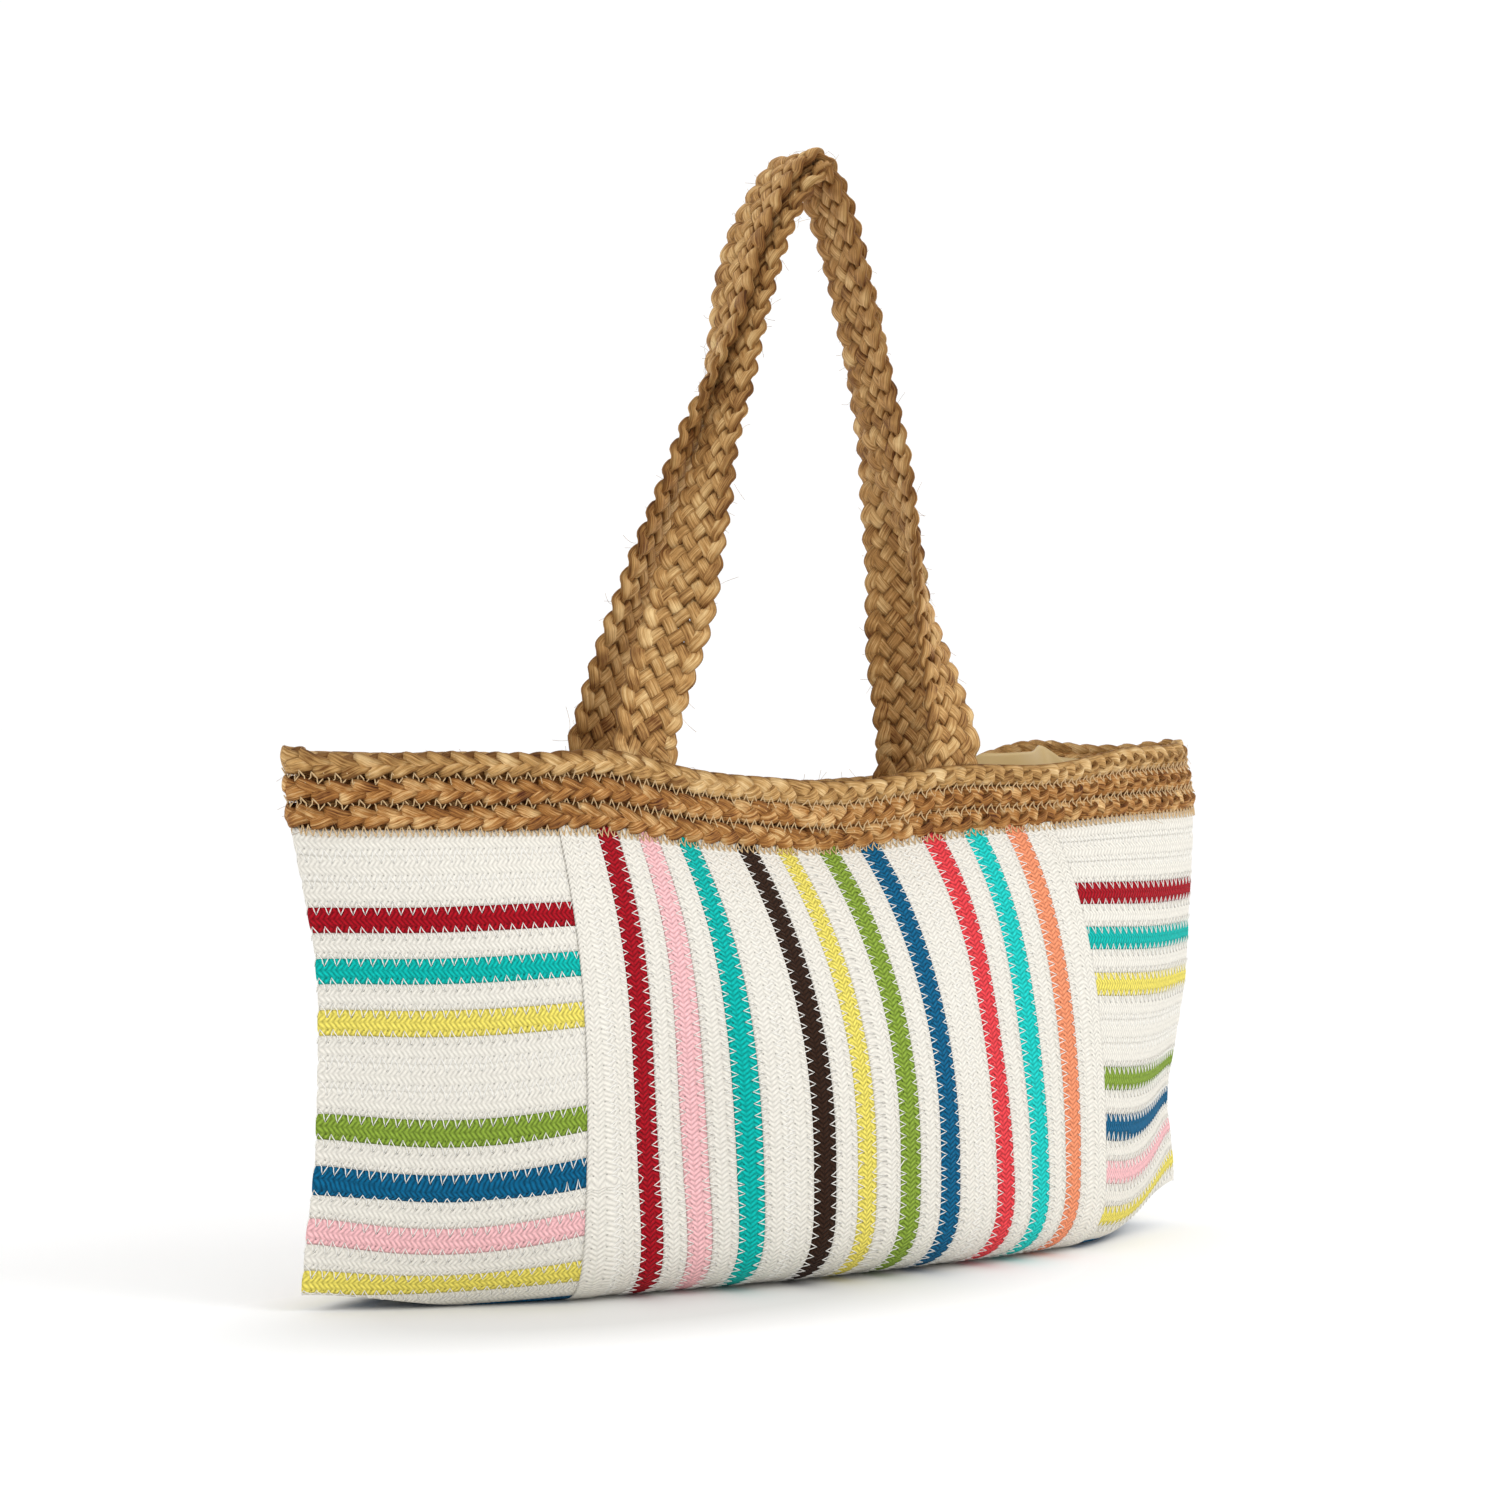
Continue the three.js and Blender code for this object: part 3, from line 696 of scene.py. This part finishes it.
def rod(name, centres, normals, wide, thick, material,
        closed=False, sides=8, number=0, square=1.0, sunk=None):
    """A flattened rod along centres. wide and thick are half sizes in mm, one value or one per point.
    sunk, 0 to 1 per point, says how deep it lies among its neighbours; there its outer side gets painted
    shade, and both edges of the ribbon always get painted shade, as dark gaps between strands."""
    tangents = np.roll(centres, -1, 0) - np.roll(centres, 1, 0)
    if not closed:
        tangents[0], tangents[-1] = centres[1] - centres[0], centres[-1] - centres[-2]
    tangents = unit(tangents)
    normals = unit(normals - tangents * np.sum(normals * tangents, -1, keepdims=True))
    across = np.cross(tangents, normals)
    angle = np.linspace(0, 2 * math.pi, sides, endpoint=False)
    c, s = np.cos(angle), np.sin(angle)
    c = (np.sign(c) * np.abs(c) ** square)[None, :, None]
    s = (np.sign(s) * np.abs(s) ** square)[None, :, None]
    wide = np.broadcast_to(wide, len(centres))[:, None, None]
    thick = np.broadcast_to(thick, len(centres))[:, None, None]
    rings = centres[:, None] + across[:, None] * wide * c + normals[:, None] * thick * s
    run = np.append(lengths_along(centres), 0) / 10
    if closed:
        run[-1] = run[-2] + np.linalg.norm(centres[0] - centres[-1]) / 10
    else:
        run = run[:-1]
    turn = number + np.linspace(0, 1, sides + 1) * 0.998
    uvs = np.stack(np.broadcast_arrays(run[:, None], turn[None, :]), -1)
    piece = sweep(name, rings, uvs, material, closed=closed)
    if sunk is not None:
        # Painted shade on the strand: on its outer side where it is sunk, and on both edges of the ribbon
        # everywhere.
        outer = smoothstep(np.sin(angle), -0.6, 0.2)
        shade = np.maximum(sunk[:, None] * outer[None, :], 0.85 * np.abs(np.cos(angle))[None, :] ** 6)
        values = piece.data.attributes.new("PaintedShade", "FLOAT", "POINT").data
        values.foreach_set("value", shade.astype(np.float32).ravel())
    return piece


def outward(along, down, depth, face):
    return unit(place(along, down, depth - 0.5, face) - place(along, down, depth + 0.5, face))


# %% [markdown]
# ### The zigzag
# A zigzag machine swings its needle from one tape to the other, so the white thread lies in a row of V
# shapes over every joint. It is pulled tight over the crown. On a coloured tape that white thread is one of
# the first things seen, so it is real thread here; on white tapes it is sunk deeper and hardly shows.

# %% Zigzag threads
SWING = 3.3  # mm from the joint to a needle hole
THREAD = 0.27  # mm, radius
WHITE_SINK = 0.32  # mm, how much deeper the thread lies between two white tapes


def zigzag(count, quarter):
    """A triangle wave and how near each point is to a tip."""
    t = (np.arange(count) / quarter) % 4
    wave = np.where(t < 1, t, np.where(t < 3, 2 - t, t - 4))
    return wave, np.abs(wave)


def thread_depth(near_tip, sunk):
    return 0.6 * crown((1 - near_tip * SWING / (ROW / 2)) * ROW / 2, ROW) - 0.28 + sunk


def upright_thread(spot, sunk, number):
    total = down_length(np.array([spot / HALF_LENGTH]), 1)[0]
    one_way = np.arange(BAND - 1, total, STITCH / 8)
    down = np.concatenate([one_way, one_way[::-1]])
    face = np.concatenate([np.ones(len(one_way)), -np.ones(len(one_way))])
    wave, near = zigzag(len(down), 2)
    along = (spot + SWING * wave) / HALF_LENGTH
    depth = thread_depth(near, sunk)
    down = np.minimum(down, down_length(along, 1))
    return rod("thread", place(along, down, depth, face), outward(along, down, depth, face),
               THREAD, THREAD, WHITE_THREAD, sides=5, number=number)


def level_thread(side, down_at, sunk, number):
    start = SEAM + 1.5
    one_way = np.arange(start, HALF_LENGTH, STITCH / 8)
    spot = np.concatenate([one_way, one_way[::-1]])
    face = np.concatenate([np.ones(len(one_way)), -np.ones(len(one_way))])
    wave, near = zigzag(len(spot), 2)
    down = down_at + SWING * wave
    past_seam = (spot - SEAM) / (HALF_LENGTH - SEAM)
    along = side * (spot - seam_shift(side, down) * (1 - past_seam)) / HALF_LENGTH
    down = down + sag(along, down)
    depth = thread_depth(near, sunk)
    return rod("thread", place(along, down, depth, face), outward(along, down, depth, face),
               THREAD, THREAD, WHITE_THREAD, sides=5, number=number)


def is_joint_coloured(index, coloured):
    return index in coloured or index - 1 in coloured


centre_coloured = [tape for tape, _ in CENTRE_COLOURS.values()]
side_coloured = [row for row, _ in SIDE_COLOURS.values()]
threads = []
for index in range(1, int(CENTRE_TAPES) + 1):
    sunk = 0.0 if is_joint_coloured(index, centre_coloured) else WHITE_SINK
    threads.append(upright_thread(-SEAM + index * TAPE, sunk, index))
white_threads = join("centre_threads", threads)
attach(white_threads, "bag")
for side, end in ((-1, "left"), (1, "right")):
    threads = []
    for index in range(1, SIDE_ROWS + 1):
        sunk = 0.0 if is_joint_coloured(index, side_coloured) else WHITE_SINK
        threads.append(level_thread(side, BAND + index * ROW, sunk, index))
    piece = join(end + "_threads", threads)
    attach(piece, "bag")
print("zigzag threads:", len(white_threads.data.vertices), "vertices in the centre")

# %% [markdown]
# ## The jute band
# Three plaits of three strands each go round the mouth. A flat plait is a simple pair of waves: each
# strand swings from edge to edge once a turn, and goes over and under twice as often, with the three
# strands a third of a turn apart. The strands are flat ribbons that narrow as they fold at an edge.

# %% Flat plaits
def plait_waves(run, period, strands, number, half_swing, half_depth, sharp=0.0):
    """Offsets across and outwards of one strand of a flat plait."""
    theta = 2 * math.pi * (run / period + number / strands)
    swing = np.cos(theta)
    if sharp:
        swing = np.arcsin(sharp * swing) / math.asin(sharp)
    lift = np.tanh(2.2 * np.sin((strands - 1) * theta)) / math.tanh(2.2)
    return half_swing * swing, half_depth * lift, np.abs(np.cos(theta))


RIM_PERIODS = 32
RIM_STEPS = 26  # samples in one period
BRAID_MIDDLE = 0.9
mouth_length = 4 * HALF_LENGTH


def around_mouth(run):
    """Run along the rim, front first, as along and face."""
    run = run % mouth_length
    front = run < mouth_length / 2
    along = np.where(front, run / HALF_LENGTH - 1, 3 - run / HALF_LENGTH)
    return along, np.where(front, 1, -1)


def rim_row(name, row, material):
    count = RIM_PERIODS * RIM_STEPS
    run = np.arange(count) * mouth_length / count
    along, face = around_mouth(run)
    strands = []
    for number in range(3):
        across, out, edge = plait_waves(run + row * 13, mouth_length / RIM_PERIODS, 3, number, 3.2, 1.3)
        wobble = 0.35 * np.sin(run * 2 * math.pi * 37 / mouth_length + number * 2 + row)
        wobble = wobble + 0.45 * np.sin(run * 2 * math.pi * 11 / mouth_length + row)
        down = (row + 0.5) * ROW + across + wobble
        depth = BRAID_MIDDLE - out
        if row == 0:
            depth = depth + 1.2 * smoothstep(-across, 1, 6)
        wide = 4.0 - 1.1 * edge ** 4
        centres, normals = place(along, down, depth, face), outward(along, down, depth, face)
        # Each strand carries painted shade where it dives under the others of its row, and along its edges.
        strands.append(rod("strand", centres, normals, wide, 1.55, material, closed=True, sides=12,
                           number=number + 3 * row, square=0.8, sunk=smoothstep(-out, 0.2, 1.3)))
    piece = join("rim_plait_" + name, strands)
    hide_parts("rim_braid_" + name)
    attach(piece, "bag")
    return piece


for row, (name, material) in enumerate((("top", JUTE_PALE), ("middle", JUTE_RED), ("lower", JUTE_RED))):
    print("rim plait", name, len(rim_row(name, row, material).data.vertices), "vertices")


# %% [markdown]
# Between the rows there would be gaps to look through where the band turns at an end. On the bag a
# narrow webbing is sewn behind the rows to take the load of the handles, and it closes them.

# %% Webbing behind the rows
def webbing():
    count = 300
    run = np.arange(count) * mouth_length / count
    along, face = around_mouth(run)
    downs = np.array([5.0, 12, 20, 28, BAND + 1.5, BAND + 1.5, 28, 20, 12, 5.0])
    depths = np.array([2.4] * 5 + [3.3] * 5)
    rings = place(along[:, None], downs[None, :], depths[None, :], face[:, None])
    runs_cm = np.append(run, mouth_length)[:, None] / 10
    downs_cm = np.append(downs, downs[0])[None] / 10
    uv = np.stack(np.broadcast_arrays(runs_cm, downs_cm), -1)
    piece = sweep("band_webbing", rings, uv, JUTE_RED, closed=True)
    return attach(piece, "bag")


print("webbing:", len(webbing().data.vertices), "vertices")

# %% Threads of the band
RIM_STITCHES = (  # place down, swing, pitch, depth in the valley, depth at the tips, all in mm
    (ROW, 2.7, 5.2, -1.2, -1.9), (2 * ROW, 2.7, 5.2, -1.2, -1.9), (BAND + 0.3, 2.6, 3.6, -0.9, -0.9))
RIM_THREAD = 0.32  # mm, radius
END_SINK = 1.6  # mm, so that no loop of thread stands off the band's two ends


def rim_thread(down_at, swing, pitch, valley, tip, number):
    quarter = 3
    count = int(round(mouth_length / pitch)) * 4 * quarter
    run = np.arange(count) * mouth_length / count
    along, face = around_mouth(run)
    wave, near = zigzag(count, quarter)
    down = down_at + swing * wave
    depth = mix(valley, tip, near) + END_SINK * smoothstep(np.abs(along), 0.96, 1)
    return rod("thread", place(along, down, depth, face), outward(along, down, depth, face),
               RIM_THREAD, RIM_THREAD, JUTE_THREAD, closed=True, sides=5, number=number)


piece = join("rim_threads", [rim_thread(*stitch, number) for number, stitch in enumerate(RIM_STITCHES)])
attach(piece, "bag")
print("band threads done")

# %% [markdown]
# ## The handles
# A handle is one flat plait of seven strands, made like the rim but wider, and its two ends are sewn
# in behind the band. Real handles are one length of plait from end to end, so here too one mesh runs
# from tab to tab, and it bends where it leaves the band.

# %% The handle's route
HANDLE_X, HANDLE_Y, HANDLE_TOP_Y, HANDLE_TOP_Y_HEIGHT = 96.0, 21.5, 4.0, 220.0
HINGE_Z, HANDLE_RISE, HANDLE_POWER, HANDLE_LEAN, HANDLE_LEAN_POWER = 255.8, 302.0, 1.54, 18.0, 1.2
TWIST_HEIGHT, NEST, NEST_HEIGHT = 150.0, 8.0, 90.0
END_DOWN, END_MIDDLE, END_SHIFT = 33.0, 7.0, 2.0
STRAP_HALF = 17.0


def resample(points, others, spacing):
    run = lengths_along(points)
    even = np.arange(0, run[-1], spacing)
    take = lambda values: np.stack([np.interp(even, run, values[:, i]) for i in range(values.shape[1])], -1)
    return take(points), [take(other) for other in others]


def soften(values, reach):
    """Running average with the ends held."""
    kernel = np.hanning(2 * reach + 3)[1:-1]
    kernel /= kernel.sum()
    padded = np.concatenate([np.repeat(values[:1], reach, 0), values, np.repeat(values[-1:], reach, 0)])
    return np.stack([np.convolve(padded[:, i], kernel, "valid") for i in range(values.shape[1])], -1)


def handle_route(face, spacing=0.85):
    share = np.linspace(-1, 1, 801)
    rise = 1 - np.abs(share) ** HANDLE_POWER
    leaning = HANDLE_X * share + HANDLE_LEAN * rise ** HANDLE_LEAN_POWER
    points = np.stack([leaning, 0 * rise, HANDLE_RISE * rise], -1)
    tangent = unit(np.gradient(points, axis=0))
    inward = np.stack([tangent[:, 2], 0 * rise, -tangent[:, 0]], -1)
    height = points[:, 2]
    if face > 0:
        points = points + inward * (NEST * smoothstep(height, 0, NEST_HEIGHT))[:, None]
    # Each leg hangs its own way, and the back handle's left leg turns later than the other three.
    left = smoothstep(-share, 0, 0.1) * (1 if face > 0 else 5) * gauss((height - 165) / 60)
    left = left - smoothstep(-share, 0, 0.1) * 4.5 * gauss((height - 265) / 40)
    points[:, 0] += left + 3.5 * smoothstep(share, 0, 0.1) * gauss((height - 100) / 50)
    flip = np.where(share < 0, 1, -1)
    turned = np.minimum(1, points[:, 2] / TWIST_HEIGHT)
    late = 0.36 * np.minimum(1, height / 110) + 0.64 * smoothstep(height, 140, 240)
    turned = np.where((share < 0) & (face < 0), late, turned)
    twist = -flip * face * math.pi / 2 * turned
    width = flip[:, None] * np.stack([np.cos(twist), np.sin(twist), 0 * twist], -1)
    points[:, 1] = -face * mix(HANDLE_Y, HANDLE_TOP_Y, np.clip(points[:, 2] / HANDLE_TOP_Y_HEIGHT, 0, 1))
    points[:, 2] += HINGE_Z
    downs = np.arange(END_DOWN, 4, -2.0)
    ends = []
    for side in (-1, 1):
        along = np.full(downs.shape, side * (HANDLE_X + END_SHIFT) / HALF_LENGTH)
        ends.append(place(along, downs, END_MIDDLE, face))
    keep = height > 5
    points = np.concatenate([ends[0], points[keep], ends[1][::-1]])
    left = np.tile([1.0, 0, 0], (len(downs), 1))
    width = np.concatenate([left, width[keep], -left])
    points, (width,) = resample(points, [width], spacing)
    points, width = soften(points, 9), soften(width, 9)
    tangent = unit(np.gradient(points, axis=0))
    width = unit(width - tangent * np.sum(width * tangent, -1, keepdims=True))
    return points, width, np.cross(tangent, width)


# %% Plaited handles
HANDLE_STRANDS = 7
HANDLE_PERIODS = 9
EDGE_SWING = 13.2


def handle(face, name):
    points, width, normal = handle_route(face)
    run = lengths_along(points)
    period = run[-1] / HANDLE_PERIODS
    strands = []
    for number in range(HANDLE_STRANDS):
        across, out, edge = plait_waves(run, period, HANDLE_STRANDS, number, EDGE_SWING, 1.35, sharp=0.965)
        across = across + 0.4 * np.sin(run / 17 + number * 1.7)
        cup = 1.2 * (np.abs(across) / STRAP_HALF) ** 2 - 0.6
        centres = points + width * across[:, None] + normal * (out + cup)[:, None]
        wide = 3.5 + 0.8 * edge ** 6 + 0.3 * np.sin(run / 9 + 2.1 * number)
        # With sunk at zero, the handle's strands get painted shade only along their two edges.
        strands.append(rod("strand", centres, normal, wide, 1.5 + 0.35 * edge ** 6, JUTE, sides=12,
                           number=number + 10, square=0.8, sunk=np.zeros(len(run))))
    print(name, "plait period", round(period, 1), "mm, loops every", round(period / HANDLE_STRANDS, 1))
    return strands, points, width, normal


# %% [markdown]
# ### Stray fibres
# Jute is hairy. Fine fibres stand off the plaits all along, and against a pale background they soften
# the outline. Each is a thin bent rod that starts on a strand and leaves along the plait.

# %% Stray fibres
def fibres(starts, forwards, outs, count, reach):
    pick = random.integers(0, len(starts), count)
    t = np.linspace(0, 1, 7)
    pieces = []
    for index in pick:
        length = reach * random.uniform(0.5, 1.6)
        heading = forwards[index] * random.choice([-1, 1]) + random.normal(0, 0.4, 3) + 0.2 * outs[index]
        heading = unit(heading)
        curl = random.normal(0, 0.6, 3)
        line = starts[index] + heading * (t * length)[:, None] + curl * (t ** 2 * length)[:, None]
        side = unit(np.cross(heading, [0.3, 0.5, 0.8]))
        pieces.append(rod("fibre", line, np.tile(side, (len(t), 1)), 0.09, 0.09, JUTE_PALE, sides=3,
                          number=int(index) % 17))
    return pieces


for face, end in ((1, "front"), (-1, "back")):
    strands, points, width, normal = handle(face, end + "_handle")
    edge = random.uniform(-STRAP_HALF, STRAP_HALF, len(points))[:, None]
    skin = random.choice([-2.4, 2.4], len(points))[:, None]
    body = slice(40, -40)
    hair = fibres((points + width * edge + normal * skin)[body], np.gradient(points, axis=0)[body],
                  (unit(normal * skin + width * edge * 0.4))[body], 520, 4.5)
    piece = join(end + "_handle_plait", strands + hair)
    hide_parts(f"{end}_handle", f"{end}_handle_left_end", f"{end}_handle_right_end")
    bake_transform(piece)

HAIR_SPOTS = 500
HAIR_DEPTH = -1.6  # mm, just outside the rows' backs
run = random.uniform(0, mouth_length, HAIR_SPOTS)
along, face = around_mouth(run)
down = random.uniform(-0.5, BAND, HAIR_SPOTS)
start = place(along, down, HAIR_DEPTH, face)
ahead_of = unit(place(np.clip(along + 0.01, -1, 1), down, HAIR_DEPTH, face) - start + 1e-6)
piece = join("rim_fibres", fibres(start, ahead_of, outward(along, down, HAIR_DEPTH, face), 420, 5))
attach(piece, "bag")
print("stray fibres done")

# %% [markdown]
# ## The lining
# Inside is a loose khaki satin pouch, sewn in under the band. It is a thin double-sided shell that
# follows the skin from behind, with soft vertical folds that are deepest half way down.

# %% Lining
LINING_TOP, LINING_LOW, LINING_THICKNESS = 10.6, 5.0, 0.9


def lining():
    downs = np.linspace(8, WRAPPED, 58)
    count = 240
    run = np.arange(count) * mouth_length / count
    along, face = around_mouth(run)
    rings, uvs = [], []
    for a, f, r in zip(along, face, run):
        lower = mix(WRAPPED, down_length(np.array([a]), 1)[0], np.linspace(0, 1, 12)[1:])
        down = np.concatenate([downs, lower])
        base = mix(LINING_TOP, LINING_LOW, smoothstep(down, 62, 114))
        fold = np.sin(r / 23 + 2 * math.sin(r / 61)) * 1.6 + np.sin(r / 9.1 + down / 31) * 0.6
        depth = base + (fold + 1.9) * smoothstep(down, 14, 60) * (1 - smoothstep(down, 200, 250))
        both = np.concatenate([down, down[::-1]])
        depths = np.concatenate([depth, depth[::-1] + LINING_THICKNESS])
        rings.append(place(a, both, depths, f))
        uvs.append(np.stack([np.full(len(both) + 1, r / 10), np.append(both, both[0]) / 10], -1))
    uvs.append(uvs[0] + np.array([mouth_length / 10, 0]))
    piece = sweep("lining_pouch", np.array(rings), np.array(uvs), SATIN, closed=True)
    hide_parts("lining")
    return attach(piece, "bag")


print("lining:", len(lining().data.vertices), "vertices")

# %% [markdown]
# At the right the pouch is too big for the mouth, and its cloth stands up in one soft fold with a
# pointed top. It is a thin sheet of its own, closed all round, that leans from back to front.

# %% Standing fold
FOLD_START, FOLD_LENGTH, FOLD_FOOT, FOLD_TOP = 112.0, 86.0, 214.0, 253.5
FOLD_THICKNESS = 0.7


def standing_fold():
    u = np.linspace(0, 1, 49)
    v = np.linspace(0, 1, 25)[:, None]
    across = FOLD_START + FOLD_LENGTH * u[None, :]
    top = FOLD_TOP + 1.8 * u + 3 * gauss((u - 0.75) / 0.06) - 12 * smoothstep(u, 0.79, 1.0)
    top = top - 14 * (1 - smoothstep(u, 0, 0.25))
    height = mix(FOLD_FOOT, top[None, :], v)
    ripple = 3.5 * np.sin(u[None, :] * 9 + 1) + 4 * gauss((u[None, :] - 0.77) / 0.08)
    lean = 3 + ripple * v - 8 * (1 - v)
    sheet = np.stack([across + 0 * v, lean, height], -1)
    behind = sheet + np.array([0, FOLD_THICKNESS, 0])
    rings = np.concatenate([sheet, behind[::-1]], 0)
    runs_cm = np.arange(len(u) + 1)[:, None] * 0.13
    heights_cm = np.arange(len(rings) + 1)[None, :] * 0.16
    uv = np.stack(np.broadcast_arrays(runs_cm, heights_cm), -1)
    piece = sweep("lining_fold", rings.transpose(1, 0, 2), uv, SATIN)
    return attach(piece, "bag")


print("fold:", len(standing_fold().data.vertices), "vertices")

# %% Stage, light and camera
CAMERA_TURN = math.radians(34.57)
CAMERA_SIDE = 0.01456
CAMERA_AWAY = 1.8525
CAMERA_HEIGHT = 0.283
CAMERA_FIELD = 2.459  # lens length in sensor widths
HORIZON_SHIFT = -0.0347

right = np.array([math.cos(CAMERA_TURN), -math.sin(CAMERA_TURN), 0])
ahead = np.array([math.sin(CAMERA_TURN), math.cos(CAMERA_TURN), 0])
camera_data = bpy.data.cameras.new("camera")
camera_data.lens = CAMERA_FIELD * camera_data.sensor_width
camera_data.shift_y = HORIZON_SHIFT
camera = bpy.data.objects.new("camera", camera_data)
camera.location = tuple(-(CAMERA_SIDE * right + CAMERA_AWAY * ahead) + np.array([0, 0, CAMERA_HEIGHT]))
camera.rotation_euler = (math.pi / 2, 0, -CAMERA_TURN)
bpy.context.collection.objects.link(camera)
bpy.context.scene.camera = camera

# The floor's colour is darker in a soft oval in front of the bag: a painted shadow, on top of the shadow
# that the lights cast.
SHADE_CENTRE = (-0.12, -0.055)  # m, where the soft shade in front of the bag lies
SHADE_REACH = (0.26, 0.115)
SHADE_TONES = [(0.5, (0.77, 0.77, 0.755)), (1.0, (0.91, 0.91, 0.90)), (1.5, (0.985, 0.985, 0.985))]
floor_mesh = bpy.data.meshes.new("floor")
reach = 30.0
corners = [(-reach, -reach, 0), (reach, -reach, 0), (reach, reach, 0), (-reach, reach, 0)]
floor_mesh.from_pydata(corners, [], [(0, 1, 2, 3)])
floor = bpy.data.objects.new("floor", floor_mesh)
floor_look = Graph("pale_floor_painted_shadow")
where = floor_look.node("ShaderNodeTexCoord").outputs["Object"]
parts = floor_look.node("ShaderNodeSeparateXYZ")
floor_look.put(where, parts.inputs[0])
squares = []
for output, middle, width in zip(parts.outputs, SHADE_CENTRE, SHADE_REACH):
    off = floor_look.math("MULTIPLY_ADD", output, 1 / width, -middle / width)
    squares.append(floor_look.math("POWER", floor_look.math("ABSOLUTE", off), 2.0))
reach_out = floor_look.math("SQRT", floor_look.math("ADD", *squares))
tone = floor_look.ramp(reach_out, SHADE_TONES)
floor_mesh.materials.append(floor_look.finish(tone, 0.9, Specular_IOR_Level=0.1))
bpy.context.collection.objects.link(floor)

world = bpy.data.worlds.new("studio") if bpy.context.scene.world is None else bpy.context.scene.world
bpy.context.scene.world = world
world.use_nodes = True
world.node_tree.nodes["Background"].inputs[0].default_value = (1, 1, 1, 1)
world.node_tree.nodes["Background"].inputs[1].default_value = 1.04
bpy.context.scene.view_settings.view_transform = "Standard"


def softbox(name, size, power, location, target=(0, 0, 0.2)):
    data = bpy.data.lights.new(name, "AREA")
    data.shape, data.size, data.energy = "DISK", size, power
    light = bpy.data.objects.new(name, data)
    light.location = location
    toward = np.array(target) - np.array(location)
    light.rotation_euler = (math.acos(-toward[2] / np.linalg.norm(toward)), 0,
                            math.atan2(toward[1], toward[0]) + math.pi / 2 + math.pi)
    bpy.context.collection.objects.link(light)


softbox("key", 1.2, 12, (0.9, -1.7, 1.9))
